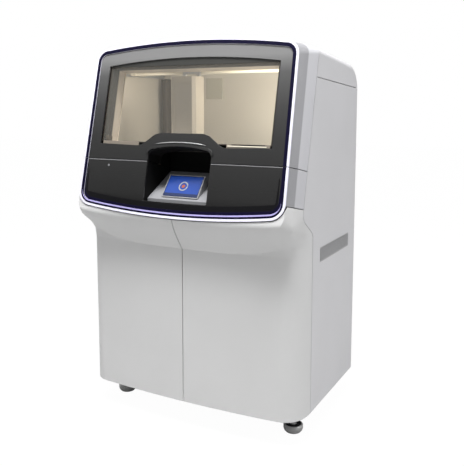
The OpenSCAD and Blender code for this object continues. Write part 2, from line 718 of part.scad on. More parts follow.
module niche_liner() {
    // side walls, back wall, roof and sill round the console
    y0 = face_y(console_z);
    foot_y = console_y + 20;
    sill_z = console_z - console_t - 8;
    difference() {
        union() {
            both() translate([niche_half, 0, 0]) rotate([90, 0, 90]) linear_extrude(niche_t)
                polygon([[y0, sill_z - niche_t], [y0, niche_z], [console_y1 + niche_t, niche_z],
                         [console_y1 + niche_t, console_z1 - 30],
                         [foot_y, sill_z - niche_t]]);
            block(-niche_half, niche_half, console_y1, console_y1 + niche_t, console_z1 - 30, niche_z);
            block(-niche_half, niche_half, front_y_at + 20, console_y1 + niche_t, niche_z - niche_t, niche_z);
            block(-niche_half, niche_half, y0, foot_y, sill_z - niche_t, sill_z);
        }
        face_slab(-face_t - seat, far, -far, far);
        face_slab(front_w - seat, far, split_v - part_gap/2 - seat, far);
    }
}
module on_console() {
    translate([0, console_y, console_z]) rotate([console_tilt, 0, 0]) children();
}
module console_shelf() {
    difference() {
        union() {
            on_console() translate([-niche_half + seat, 0, -console_t])
                cube([2*(niche_half - seat), console_len - seat, console_t]);
            // front edge turned down onto the sill
            block(-niche_half + seat, niche_half - seat, console_y, console_y + 4, console_z - console_t - 8,
                  console_z);
        }
        block(-far, far, console_y1 - seat, far, 0, far);
    }
}
// side view of the wedge that carries the screen, on the console's own axes
module touchscreen() {
    a = screen_tilt - console_tilt;
    difference() {
        on_console() translate([-screen_w/2, 0, 0]) rotate([90, 0, 90]) linear_extrude(screen_w)
            polygon([[screen_in, 0], [screen_in, screen_lip],
                     [screen_in + screen_l*cos(a), screen_lip + screen_l*sin(a)],
                     [screen_in + screen_l*cos(a), 0]]);
        on_screen() translate([-screen_w/2 + screen_edge, screen_edge, -3])
            cube([screen_w - 2*screen_edge, screen_l - 2*screen_edge, 4]);
    }
}
module on_screen() {
    on_console() translate([0, screen_in, screen_lip]) rotate([screen_tilt - console_tilt, 0, 0]) children();
}
module screen_glass() {
    on_screen() translate([-screen_w/2 + screen_edge + seat, screen_edge + seat, -3 + seat])
        cube([screen_w - 2*screen_edge - 2*seat, screen_l - 2*screen_edge - 2*seat, 2.7]);
}

module main_frame() {
    module post(x, y, z0, z1) { block(x - tube/2, x + tube/2, y - tube/2, y + tube/2, z0, z1); }
    both() {
        post(post_x, post_front, base_z, post_top);
        post(post_x, post_back, base_z, rear_top);
        for (z = [base_z, deck_z - deck_t - tube, rear_top - 12])
            block(post_x - tube/2, post_x + tube/2, post_front + tube/2, post_back - tube/2, z, z + tube);
        // plates over the feet, between the tubes of the base
        block(foot_x - plate, post_x, front_foot_y - plate, front_foot_y + plate, base_z, base_z + 8);
        block(rear_foot_x - plate, post_x, rear_foot_y - plate, rear_foot_y + plate, base_z, base_z + 8);
    }
    for (y = [post_front, post_back])
        block(-post_x + tube/2, post_x - tube/2, y - tube/2, y + tube/2, base_z, base_z + tube);
    for (z = [deck_z - deck_t - tube, rear_top - tube])
        block(-post_x + tube/2, post_x - tube/2, post_back - tube/2, post_back + tube/2, z, z + tube);
    block(-post_x + tube/2, post_x - tube/2, post_front - tube/2, post_front + tube/2, crossbar_z,
          crossbar_z + tube);
    // spacers that carry the top cover, and arms that carry the fascia
    both() {
        for (y = [post_front + 26, post_back - 54]) {
            z1 = seam_z(y) + 6;
            block(post_x - tube/2, post_x + tube/2, y, y + 28, rear_top, z1 + 14);
            block(post_x + tube/2, half - cover_t, y, y + 28, z1, z1 + 14);
        }
        difference() {
            block(post_x - tube/2, post_x + tube/2, plane_y(arm_z, -band_d) - 40, post_front - tube/2,
                  arm_z, arm_z + tube);
            face_slab(-band_d, far, -far, far);
        }
    }
}
module levelling_feet() {
    for (p = [[foot_x, front_foot_y], [rear_foot_x, rear_foot_y]]) both() translate([p.x, p.y, 0]) {
        rotate_extrude() polygon([[0, 0], [foot_d/2 - 20, 0], [foot_d/2 - 9, 4], [foot_d/2 - 3, 11],
            [foot_d/2, 20], [foot_d/2, foot_pad_h - 4], [foot_d/2 - 4, foot_pad_h], [0, foot_pad_h]]);
        cylinder(d = stem_d, h = base_z);
        translate([0, 0, foot_pad_h + 14]) cylinder(d = stem_d*1.9, h = 10, $fn = 6);
    }
}
module floor_pan() {
    block(-post_x + tube/2 + 1, post_x - tube/2 - 1, post_front - tube/2, post_back + tube/2,
          base_z + tube, base_z + tube + sheet);
}
module rear_panel() {
    difference() {
        block(-half + side_t + seat, half - side_t - seat, back_y - cover_t, back_y, skirt_z,
              top_seam_z - part_gap/2);
        both() translate([fan_x, back_y - cover_t - 1, fan_z]) rotate([-90, 0, 0]) fan_slots();
        block(inlet_x, inlet_x + 62, back_y - cover_t - 1, back_y + 1, inlet_z, inlet_z + 84);
        // grille low in the panel for the lower bay
        for (i = [0:11]) block(-110, 110, back_y - cover_t - 1, back_y + 1, 420 + i*14, 427 + i*14);
    }
}
module fan_slots() {
    // concentric slots left between four spokes
    difference() {
        linear_extrude(cover_t + 2) difference() {
            circle(r = fan_r);
            circle(r = 14);
        }
        for (r = [24:13:fan_r - 6]) linear_extrude(cover_t + 2) difference() {
            circle(r = r + 4);
            circle(r = r);
        }
        for (a = [45, 135]) rotate([0, 0, a]) translate([-fan_r, -3, 0]) cube([2*fan_r, 6, cover_t + 2]);
    }
}
fan_d = 38;
module at_fan(s) { translate([s*fan_x, back_y - cover_t, fan_z]) rotate([90, 0, 0]) children(); }
module fan_housing() {
    difference() {
        translate([-fan_w/2, -fan_w/2, 0]) cube([fan_w, fan_w, fan_d]);
        translate([0, 0, -1]) cylinder(r = fan_r, h = fan_d + 2);
    }
    // struts and motor seat on the inner side
    difference() {
        for (a = [0, 120, 240]) rotate([0, 0, a]) translate([0, -3, fan_d - 4]) cube([fan_w/2 - 2, 6, 4]);
        translate([0, 0, fan_d - 5]) cylinder(r = 20, h = 6);
    }
    translate([0, 0, fan_d - 4]) cylinder(r = 21, h = 4);
    translate([0, 0, 8]) cylinder(r = 3, h = fan_d - 10);
}
module fan_rotor() {
    difference() {
        union() {
            translate([0, 0, 6]) cylinder(r = 24, h = fan_d - 12);
            for (i = [0:fan_blades - 1]) rotate([0, 0, i*360/fan_blades])
                translate([22, 0, fan_d/2]) rotate([32, 0, 0]) translate([0, -20, -1.2])
                    cube([fan_r - 25, 40, 2.4]);
        }
        translate([0, 0, 5]) cylinder(r = 3 + pin_fit, h = fan_d);
        translate([0, 0, -far/2 + 6]) cylinder(r = far, h = far/2);
        translate([0, 0, fan_d - 6]) cylinder(r = far, h = far/2);
    }
}
module mains_inlet() {
    difference() {
        union() {
            block(inlet_x + 6, inlet_x + 56, back_y - 28, back_y - 0.5, inlet_z + 6, inlet_z + 78);
            block(inlet_x - 8, inlet_x + 70, back_y - cover_t - 3, back_y - cover_t, inlet_z - 8,
                  inlet_z + 92);
        }
        block(inlet_x + 14, inlet_x + 48, back_y - 18, back_y + 1, inlet_z + 12, inlet_z + 36);
        block(inlet_x + 16, inlet_x + 46, back_y - 16, back_y + 1, inlet_z + 46, inlet_z + 72);
    }
    for (x = [-9, 0, 9]) block(inlet_x + 31 + x - 1, inlet_x + 31 + x + 1, back_y - 18, back_y - 4,
                               inlet_z + 21, inlet_z + 27);
    both_ends(inlet_x + 31, 15) translate([0, back_y - 8, inlet_z + 59]) rotate([0, 90, 0])
        cylinder(r = 2, h = 4);
}
module both_ends(x, reach) {
    translate([x - reach - eps, 0, 0]) children();
    translate([x + reach - 4 + eps, 0, 0]) children();
}
module power_switch() {
    translate([inlet_x + 31, back_y - 8, inlet_z + 59]) difference() {
        intersection() {
            translate([-14, -6, -12]) cube([28, 11, 24]);
            rotate([0, 90, 0]) translate([0, 0, -15]) cylinder(r = 12.2, h = 30);
            union() {
                rotate([-6, 0, 0]) translate([-15, -9, 0]) cube([30, 12, 13]);
                rotate([6, 0, 0]) translate([-15, -9, -13]) cube([30, 12, 13]);
            }
        }
        both() translate([10.9, 0, 0]) rotate([0, 90, 0]) cylinder(r = 2 + pin_fit, h = 6);
    }
}

// upper chamber
module aperture_frame() {
    // stands on the frame's front arms
    low_v = (arm_z + tube + seat - face_z0 - (front_w - sheet)*st)/ct;
    difference() {
        face_slab(front_w - sheet, front_w, low_v, reveal_top_v + 46, -half + side_t + 8, half - side_t - 8);
        face_slab(-far, far, reveal_low_v, reveal_top_v, -reveal_half, reveal_half);
        face_slab(-far, far, 0, niche_top_v + 8, -niche_half - niche_t, niche_half + niche_t);
        both() block(post_x - tube/2 - seat, half, post_front - tube/2 - seat, back_y, 0, far);
    }
}
module side_wall() {
    translate([chamber_half, 0, 0]) rotate([90, 0, 90]) linear_extrude(sheet)
        polygon([[plane_y(deck_z, front_w - sheet), deck_z], [chamber_y1, deck_z],
                 [chamber_y1, ceiling_z], [plane_y(ceiling_z, front_w - sheet), ceiling_z]]);
}
module chamber_back_wall() {
    block(-chamber_half - sheet, chamber_half + sheet, chamber_y1, chamber_y1 + sheet, deck_z, ceiling_z);
}
module chamber_ceiling() {
    block(-chamber_half - sheet, chamber_half + sheet, plane_y(ceiling_z, front_w - sheet) + 1,
          chamber_y1 + sheet, ceiling_z, ceiling_z + sheet);
}
module chamber_lights() {
    y = plane_y(ceiling_z, front_w) + 14;
    both() block(14, chamber_half - 50, y, y + 22, ceiling_z - 9, ceiling_z);
    block(-chamber_half + 60, chamber_half - 60, chamber_y1 - 24, chamber_y1 - 6, ceiling_z - 8, ceiling_z);
}
module deck_plate() {
    difference() {
        block(-post_x + 2, post_x - 2, front_y_at + sheet/ct, chamber_y1 + sheet, deck_z - deck_t, deck_z);
        both() block(post_x - tube/2 - 1, far, post_front - tube/2 - 1, post_front + tube/2 + 1, 0, far);
        block(-niche_half - niche_t, niche_half + niche_t, -far, console_y1 + niche_t, 0, far);
        // raised waste opening
        block(-70, 30, 150, 250, 0, far);
    }
}
module gantry_rails() {
    both() {
        block(chamber_half - 10, chamber_half, plane_y(ceiling_z, front_w) + 60, chamber_y1 - 6,
              beam_z + 2, beam_z + 14);
        block(chamber_half - 6, chamber_half, plane_y(ceiling_z, front_w) + 50, chamber_y1 - 2,
              beam_z - 6, beam_z + 2);
    }
}
module gantry_beam() {
    x1 = chamber_half - 10 - seat;
    y0 = beam_y - beam_d/2;
    block(-x1 + 14, x1 - 14, y0, y0 + beam_d, beam_z, beam_z + beam_h);
    both() {
        block(x1 - 24, x1, beam_y - 48, beam_y + 48, beam_z - 2, beam_z + beam_h);
        block(x1 - 24, chamber_half - seat, beam_y - 48, beam_y + 48, beam_z + 14 + seat, beam_z + beam_h);
    }
    // polished guide rails along the front of the beam
    for (z = [beam_z + 2, beam_z + beam_h - 8])
        block(-x1 + 24, x1 - 24, y0 - rail_t, y0, z, z + 6);
}
module x_carriage() {
    z0 = column_z - 90;
    difference() {
        block(column_x - 46, column_x + 46, carriage_y0, carriage_y1, z0, beam_z + beam_h);
        block(column_x - 30, column_x + 30, carriage_y0 - 1, carriage_y1 + 1, column_z + 2, beam_z - 2);
    }
    // hooks over the top of the beam
    block(column_x - 46, column_x + 46, carriage_y0, beam_y - beam_d/2 + 16, beam_z + beam_h + seat,
          beam_z + beam_h + 6);
    block(column_x - 46, column_x + 46, carriage_y0, carriage_y1, beam_z + beam_h - 1, beam_z + beam_h + 6);
}
module pipette_column() {
    // folded housing with chamfered front edges and a recessed service panel
    c = 14;
    w = column_w/2;
    difference() {
        translate([column_x, column_y, head_z]) linear_extrude(column_h)
            polygon([[-w, column_d/2], [-w, -column_d/2 + c], [-w + c, -column_d/2],
                     [w - c, -column_d/2], [w, -column_d/2 + c], [w, column_d/2]]);
        block(column_x - w + 26, column_x + w - 26, column_y - column_d/2 - 1, column_y - column_d/2 + 2,
              head_z + 36, column_z - 30);
        block(column_x - 30, column_x + 30, column_y - 26, column_y + 26, head_z - 1, head_z + 60);
    }
}
module pipette_head() {
    // head block with its guide, nozzles below
    block(column_x - 29.5, column_x + 29.5, column_y - 25.5, column_y + 25.5, head_z - 8, head_z + 14);
    block(column_x - 48, column_x + 48, column_y - 30, column_y + 30, head_z - 40, head_z - 1);
    for (i = [0:channels - 1])
        translate([column_x + (i - (channels - 1)/2)*pitch, column_y, head_z - nozzle_drop]) {
            cylinder(r = 2.4, h = nozzle_drop - 39);
            translate([0, 0, 12]) cylinder(r = 3.6, h = nozzle_drop - 51);
        }
}
module tip_racks() {
    h = head_z - nozzle_drop - head_travel - 3 - tip_h - deck_z;
    for (k = [0:2]) translate([rack_x + k*(rack_w + 14), rack_y, deck_z]) {
        cube([rack_w, rack_l, h]);
        for (i = [0:3], j = [0:5])
            translate([rack_w/2 + (i - 1.5)*2*pitch, rack_l/2 + (j - 2.5)*2*pitch, h])
                cylinder(r = 4, h = tip_h);
    }
}
module sample_rack() {
    w = rack_w*2 + 8;
    translate([niche_half + niche_t + 10, plane_y(deck_z + sample_h, front_w) + 10, deck_z]) difference() {
        cube([w, 74, sample_h]);
        for (k = [0, 1]) translate([10, 10 + k*30, sample_h - 46]) cube([w - 20, 24, 50]);
    }
}
cycler_x = -440;
cycler_y = chamber_y1 - cycler_w - 32;
lid_t = 18;
lid_pin = [cycler_x, cycler_y + cycler_w + 8, deck_z + cycler_h + lid_t/2];
module thermal_cycler() {
    difference() {
        block(cycler_x, cycler_x + cycler_w, cycler_y, cycler_y + cycler_w, deck_z, deck_z + cycler_h - seat);
        for (i = [0:5], j = [0:3])
            translate([cycler_x + 45 + i*2*pitch, cycler_y + 63 + j*2*pitch, deck_z + cycler_h - 3])
                cylinder(r = 4, h = 4);
    }
    for (x = [30, cycler_w - 42]) translate([cycler_x + x, 0, 0]) {
        block(0, 12, lid_pin.y - 5, lid_pin.y + 5, deck_z, lid_pin.z);
        translate([0, lid_pin.y, lid_pin.z]) rotate([0, 90, 0]) cylinder(r = 5, h = 12);
        translate([-13, lid_pin.y, lid_pin.z]) rotate([0, 90, 0]) cylinder(r = 2, h = 38);
    }
}
module cycler_lid() {
    difference() {
        union() {
            block(cycler_x + 6, cycler_x + cycler_w - 6, cycler_y + 6, lid_pin.y - 6 - seat,
                  deck_z + cycler_h, deck_z + cycler_h + lid_t);
            for (x = [18, 44, cycler_w - 54, cycler_w - 28]) translate([cycler_x + x - 1, 0, 0]) {
                translate([0, lid_pin.y, lid_pin.z]) rotate([0, 90, 0]) cylinder(r = 5, h = 11);
                block(0, 11, lid_pin.y - 7, lid_pin.y, lid_pin.z - 4, lid_pin.z + 4);
            }
        }
        translate([cycler_x, lid_pin.y, lid_pin.z]) rotate([0, 90, 0])
            cylinder(r = 2 + pin_fit, h = cycler_w);
        block(cycler_x + 60, cycler_x + cycler_w - 60, cycler_y, cycler_y + 14, deck_z + cycler_h + 5,
              deck_z + cycler_h + lid_t + 1);
    }
}
stage_x = -236;
stage_w = 110;
stage_l = 160;
stage_y = chamber_y1 - stage_l - 22;
tray_w = 80;
tray_z = deck_z + 12;
module chip_stage() {
    x0 = stage_x + (stage_w - tray_w)/2;
    difference() {
        block(stage_x, stage_x + stage_w, stage_y, stage_y + stage_l, deck_z, deck_z + 26);
        block(x0, x0 + tray_w, stage_y - 1, stage_y + stage_l - 20, tray_z, deck_z + 27);
    }
}
module chip_tray() {
    w = tray_w - 2*seat;
    translate([stage_x + (stage_w - w)/2, stage_y - 20, tray_z + seat]) {
        difference() {
            cube([w, stage_l - 2, 10]);
            translate([10, 30, 5]) cube([w - 20, stage_l - 60, 6]);
        }
        translate([0, -6, -4]) cube([w, 6, 22]);
    }
}
module optics_module() {
    // sealed optics housing hung under the deck
    y0 = console_y1 + niche_t + 20;
    z1 = deck_z - deck_t - 20;
    block(-optics_w/2, optics_w/2, y0, bay_y1 - 20, z1 - optics_h, z1);
    for (x = [-optics_w/2 + 30, optics_w/2 - 60], y = [y0 + 20, bay_y1 - 60])
        block(x, x + 30, y, y + 30, z1, deck_z - deck_t);
}

// lower bay
module bay_shelf() {
    w = post_x - tube/2;
    block(-w, w, post_front - tube/2 + 2, bay_y1, shelf_z, shelf_z + sheet);
    block(-w, w, post_front - tube/2 + 2, post_front - tube/2 + 5, shelf_z - 22, shelf_z + 14);
    block(-sheet/2, sheet/2, post_front + tube/2 + 2, bay_y1, bay_z, shelf_z);
}
module bay_back_wall() {
    w = post_x - tube/2;
    block(-w, w, bay_y1, bay_y1 + sheet, bay_z, deck_z - deck_t - tube - 2);
}
module reagent_cartridges() {
    y0 = post_front + tube/2 + 8;
    for (k = [0:2]) translate([-420 + k*(cartridge_w + 20), y0, shelf_z + sheet]) difference() {
        cube([cartridge_w, cartridge_l, cartridge_h]);
        for (i = [-1:1], j = [-3:3])
            translate([cartridge_w/2 + i*34, cartridge_l/2 + j*32, cartridge_h - 2]) cylinder(r = 11, h = 3);
    }
}
bottle_y = post_front + tube/2 + 10 + bottle_d/2;
bottles = [[-400, bottle_y], [-240, bottle_y], [-400, bottle_y + 150], [-240, bottle_y + 150],
           [100, bottle_y], [250, bottle_y], [400, bottle_y]];
module reagent_bottles() {
    for (b = bottles) translate([b.x, b.y, bay_z]) rotate_extrude() polygon(concat([[0, 0],
        [bottle_d/2 - 5, 0], [bottle_d/2, 5], [bottle_d/2, bottle_h]],
        [for (p = arc([bottle_d/2 - 34, bottle_h], 34, 10, 80, 5)) p],
        [[20, bottle_h + 36], [20, bottle_h + 44], [0, bottle_h + 44]]));
}
module bottle_caps() {
    for (b = bottles) translate([b.x, b.y, bay_z + bottle_h + 44]) {
        cylinder(r = 24, h = 20);
        translate([0, 0, 20]) cylinder(r = 5, h = 12);
    }
}
module door_catches() {
    both() {
        block(20, 50, pan_y + seat, post_front + tube/2, crossbar_z - 60, crossbar_z - 46);
        block(20, 50, post_front - tube/2, post_front + tube/2, crossbar_z - 46, crossbar_z);
    }
}

module paint() { color([0.78, 0.78, 0.79]) children(); }
module dark() { color([0.16, 0.16, 0.18]) children(); }
module steel() { color([0.6, 0.62, 0.64]) children(); }
module cream() { color([0.82, 0.78, 0.68]) children(); }

steel() main_frame();
dark() levelling_feet();
steel() floor_pan();
paint() rear_panel();
paint() mirror([1, 0, 0]) side_panel();  // left_side_panel
paint() side_panel();  // right_side_panel
steel() both() vent_grille();  // vent_grilles
paint() top_cover();
paint() upper_door_shell();
dark() upper_door_liner();
dark() upper_door_face();
color([0.8, 0.85, 0.85, 0.3]) upper_door_glass();
color("white") trim(split_v + part_gap/2, far/3);  // upper_door_trim
color("navy") trim_dark(split_v + part_gap/2, far/3);  // upper_door_trim_inlay
dark() upper_door_seal();
steel() upper_door_hinges();
paint() fascia_flanks();  // head_flanks
dark() front_fascia();
dark() fascia_support();
color("white") trim(-far/3, split_v - part_gap/2);  // fascia_trim
color("navy") trim_dark(-far/3, split_v - part_gap/2);  // fascia_trim_inlay
color("white") status_lamp();
dark() niche_liner();
paint() console_shelf();
dark() touchscreen();
color([0.25, 0.4, 0.8]) screen_glass();
paint() mirror([1, 0, 0]) lower_door();  // lower_door_left
paint() lower_door();  // lower_door_right
steel() mirror([1, 0, 0]) door_liner();  // lower_liner_left
steel() door_liner();  // lower_liner_right
steel() both() hinge_set();  // lower_door_hinges
dark() door_catches();
paint() aperture_frame();
steel() deck_plate();
cream() both() side_wall();  // chamber_side_walls
cream() chamber_back_wall();
cream() chamber_ceiling();
color("ivory") chamber_lights();
steel() gantry_rails();
steel() gantry_beam();
steel() x_carriage();
cream() pipette_column();
dark() pipette_head();
color("teal") tip_racks();
paint() sample_rack();
steel() thermal_cycler();
dark() cycler_lid();
dark() chip_stage();
steel() chip_tray();
dark() optics_module();
paint() bay_shelf();
paint() bay_back_wall();
color("lightblue") reagent_cartridges();
color("whitesmoke") reagent_bottles();
color("steelblue") bottle_caps();
dark() { at_fan(-1) fan_housing(); at_fan(1) fan_housing(); }  // fan_housings
dark() at_fan(-1) fan_rotor();  // fan_rotor_left
dark() at_fan(1) fan_rotor();  // fan_rotor_right
dark() mains_inlet();
dark() power_switch();
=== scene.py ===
import json
import math

import bmesh
import bpy
from mathutils import Matrix, Vector


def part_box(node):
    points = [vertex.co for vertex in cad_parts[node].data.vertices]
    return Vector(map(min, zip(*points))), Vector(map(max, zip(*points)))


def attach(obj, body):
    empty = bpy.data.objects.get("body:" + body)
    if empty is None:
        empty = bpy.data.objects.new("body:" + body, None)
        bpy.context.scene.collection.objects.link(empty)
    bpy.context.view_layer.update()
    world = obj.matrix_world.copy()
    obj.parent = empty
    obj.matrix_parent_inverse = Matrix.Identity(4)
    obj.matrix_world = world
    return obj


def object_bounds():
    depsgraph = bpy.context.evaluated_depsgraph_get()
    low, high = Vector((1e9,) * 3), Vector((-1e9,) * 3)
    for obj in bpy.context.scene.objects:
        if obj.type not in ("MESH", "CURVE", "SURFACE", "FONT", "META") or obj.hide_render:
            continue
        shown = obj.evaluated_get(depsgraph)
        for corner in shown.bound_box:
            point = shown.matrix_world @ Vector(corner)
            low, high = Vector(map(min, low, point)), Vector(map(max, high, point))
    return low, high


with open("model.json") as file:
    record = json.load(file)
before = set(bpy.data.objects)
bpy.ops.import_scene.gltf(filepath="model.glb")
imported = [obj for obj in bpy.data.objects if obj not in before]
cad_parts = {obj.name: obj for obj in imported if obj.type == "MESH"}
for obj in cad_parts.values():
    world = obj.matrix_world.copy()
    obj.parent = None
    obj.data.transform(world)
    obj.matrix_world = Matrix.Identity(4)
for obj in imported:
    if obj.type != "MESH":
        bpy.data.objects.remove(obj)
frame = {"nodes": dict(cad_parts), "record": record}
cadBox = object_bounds()
nodes = frame["nodes"]
print("frame loaded")

cameraSetup = {
    "place": (1.4754, -2.6321, 1.4210),
    "yaw": 27.977,      # degrees to the left of straight ahead
    "pitch": 7.527,     # degrees down
    "roll": -0.085,
    "lens": 50.132,
    "shiftY": -0.09013,
}


def makeCamera(setup):
    data = bpy.data.cameras.new("camera")
    data.lens = setup["lens"]
    data.sensor_width = 36
    data.sensor_fit = "AUTO"
    data.shift_y = setup["shiftY"]
    camera = bpy.data.objects.new("camera", data)
    bpy.context.scene.collection.objects.link(camera)
    yaw, pitch, roll = (math.radians(setup[k]) for k in ("yaw", "pitch", "roll"))
    forward = Vector((-math.sin(yaw) * math.cos(pitch), math.cos(yaw) * math.cos(pitch), -math.sin(pitch)))
    right = Vector((math.cos(yaw), math.sin(yaw), 0))
    up = right.cross(forward)
    across = right * math.cos(roll) + up * math.sin(roll)
    upward = up * math.cos(roll) - right * math.sin(roll)
    turn = Matrix((across, upward, -forward)).transposed().to_4x4()
    camera.matrix_world = Matrix.Translation(setup["place"]) @ turn
    bpy.context.scene.camera = camera


makeCamera(cameraSetup)
print("camera placed")

studio = {
    "glossLow": 0.25,       # what polished surfaces see near the horizon
    "glossHigh": 1.15,      # and high up
    "riseFrom": 0.14,       # between these heights, with 0 level and 1 overhead
    "riseTo": 0.50,
    "skyLow": 0.24,         # light on the cabinet from the level of the horizon
    "skyHigh": 0.78,        # and from overhead
    "floorSize": 40,
    "floorTone": 0.55,      # the floor as the cabinet sees it
    "floorRough": 0.9,
    "floorWhite": 1.03,     # the floor as the camera sees it
    "floorShadow": 0.05,    # share of the real shadow that shows
}


def addNode(tree, kind, **settings):
    made = tree.nodes.new(kind)
    for name, value in settings.items():
        setattr(made, name, value)
    return made


def setInputs(made, values):
    for name, value in values.items():
        made.inputs[name].default_value = value


def makeWorld(setup):
    world = bpy.data.worlds.new("studio")
    bpy.context.scene.world = world
    world.use_nodes = True
    tree = world.node_tree
    tree.nodes.clear()
    link = tree.links.new
    path = addNode(tree, "ShaderNodeLightPath")
    direction = addNode(tree, "ShaderNodeTexCoord")
    split = addNode(tree, "ShaderNodeSeparateXYZ")
    rise = addNode(tree, "ShaderNodeMapRange", interpolation_type="SMOOTHSTEP")
    setInputs(rise, {"From Min": setup["riseFrom"], "From Max": setup["riseTo"],
                     "To Min": setup["glossLow"], "To Max": setup["glossHigh"]})
    sky = addNode(tree, "ShaderNodeMapRange")
    setInputs(sky, {"To Min": setup["skyLow"], "To Max": setup["skyHigh"]})
    light, gloss, backdrop = (addNode(tree, "ShaderNodeBackground") for i in range(3))
    for shade in (light, backdrop):
        shade.inputs["Color"].default_value = (1, 1, 1, 1)
    reflected = addNode(tree, "ShaderNodeMixShader")
    seen = addNode(tree, "ShaderNodeMixShader")
    out = addNode(tree, "ShaderNodeOutputWorld")
    link(direction.outputs["Generated"], split.inputs[0])
    link(split.outputs["Z"], rise.inputs["Value"])
    link(split.outputs["Z"], sky.inputs["Value"])
    link(sky.outputs["Result"], light.inputs["Strength"])
    link(rise.outputs["Result"], gloss.inputs["Strength"])
    link(path.outputs["Is Glossy Ray"], reflected.inputs[0])
    link(light.outputs[0], reflected.inputs[1])
    link(gloss.outputs[0], reflected.inputs[2])
    link(path.outputs["Is Camera Ray"], seen.inputs[0])
    link(reflected.outputs[0], seen.inputs[1])
    link(backdrop.outputs[0], seen.inputs[2])
    link(seen.outputs[0], out.inputs[0])


def floorMaterial(setup):
    # white to the camera, with a share of the real floor mixed in for its shadow
    material = bpy.data.materials.new("floorWhite")
    material.use_nodes = True
    tree = material.node_tree
    shader = tree.nodes["Principled BSDF"]
    tone = setup["floorTone"]
    setInputs(shader, {"Base Color": (tone, tone, tone, 1), "Roughness": setup["floorRough"]})
    glow = addNode(tree, "ShaderNodeEmission")
    glow.inputs["Strength"].default_value = setup["floorWhite"]
    path = addNode(tree, "ShaderNodeLightPath")
    share = addNode(tree, "ShaderNodeMath", operation="MULTIPLY")
    share.inputs[1].default_value = 1 - setup["floorShadow"]
    mix = addNode(tree, "ShaderNodeMixShader")
    tree.links.new(path.outputs["Is Camera Ray"], share.inputs[0])
    tree.links.new(share.outputs[0], mix.inputs[0])
    tree.links.new(shader.outputs[0], mix.inputs[1])
    tree.links.new(glow.outputs[0], mix.inputs[2])
    tree.links.new(mix.outputs[0], tree.nodes["Material Output"].inputs["Surface"])
    return material


def makeFloor(setup):
    half = setup["floorSize"] / 2
    mesh = bpy.data.meshes.new("floor")
    mesh.from_pydata([(-half, -half, 0), (half, -half, 0), (half, half, 0), (-half, half, 0)], [], [(0, 1, 2, 3)])
    floor = bpy.data.objects.new("floor", mesh)
    bpy.context.scene.collection.objects.link(floor)
    mesh.materials.append(floorMaterial(setup))


makeWorld(studio)
makeFloor(studio)

# two studio lamps, then three small ones inside the chamber
lamps = {
    "overhead": {"place": (0.3, -1.35, 4.4), "aim": (0, -0.40, 0.8), "size": (3.0, 0.9), "watts": 205},
    "rightSoft": {"place": (4.6, 0.4, 3.4), "aim": (0.5, 0, 1.2), "size": (2.4, 2.0), "watts": 52},
    "chamberRight": {"place": (0.452, -0.02, 1.34), "aim": (-0.3, 0.16, 1.33), "size": (0.22, 0.34),
                     "watts": 1.7, "colour": (1.0, 0.96, 0.89)},
    "chamberTop": {"place": (0.26, -0.11, 1.548), "aim": (0.22, 0.29, 1.28), "size": (0.36, 0.05),
                   "watts": 0.8, "colour": (1.0, 0.96, 0.87)},
    "chamberLeft": {"place": (-0.35, -0.10, 1.53), "aim": (-0.45, 0.25, 1.25), "size": (0.16, 0.05),
                    "watts": 0.22, "colour": (1.0, 0.93, 0.85)},
}


def makeLamp(name, look):
    data = bpy.data.lights.new(name, "AREA")
    data.shape = "RECTANGLE"
    data.size, data.size_y = look["size"]
    data.energy = look["watts"]
    data.color = look.get("colour", (1, 1, 1))
    light = bpy.data.objects.new(name, data)
    light.location = look["place"]
    light.rotation_euler = (Vector(look["aim"]) - light.location).to_track_quat("-Z", "Y").to_euler()
    bpy.context.scene.collection.objects.link(light)


for name, look in lamps.items():
    makeLamp(name, look)
print("studio lit")

# the outline of the sloping face, in metres
face = {
    "tilt": math.radians(13.45),
    "rimLow": 0.952,        # height of the rim's lowest edge
    "proud": 0.005,
    "halfLow": 0.509,       # half widths at the foot and at the top
    "halfTop": 0.498,
    "sag": 0.036,           # rise of the arched top and foot
    "cornerLow": 0.068,
    "cornerTop": 0.058,
}
sinTilt, cosTilt = math.sin(face["tilt"]), math.cos(face["tilt"])
faceY = cadBox[0][1] + face["proud"] * cosTilt
faceZ = face["rimLow"] - face["proud"] * sinTilt
faceLength = (cadBox[1][2] - faceZ - face["proud"] * sinTilt) / cosTilt


def onFace(x, v, w):
    return Vector((x, faceY + v * sinTilt - w * cosTilt, faceZ + v * cosTilt + w * sinTilt))


# centre of the corner that runs from the straight side into the big arc
def cornerCentre(normal, point, radius, centre, big, sign):
    side = Vector((-normal.y, normal.x))
    away = (point.dot(normal) - radius) * normal - centre
    half = away.dot(side)
    square = half * half - away.dot(away) + (big - radius) ** 2
    return (point.dot(normal) - radius) * normal + (-half + sign * math.sqrt(square)) * side


def arcPoints(centre, radius, start, stop, count):
    turn = [start + (stop - start) * i / count for i in range(count + 1)]
    return [centre + radius * Vector((math.cos(a), math.sin(a))) for a in turn]


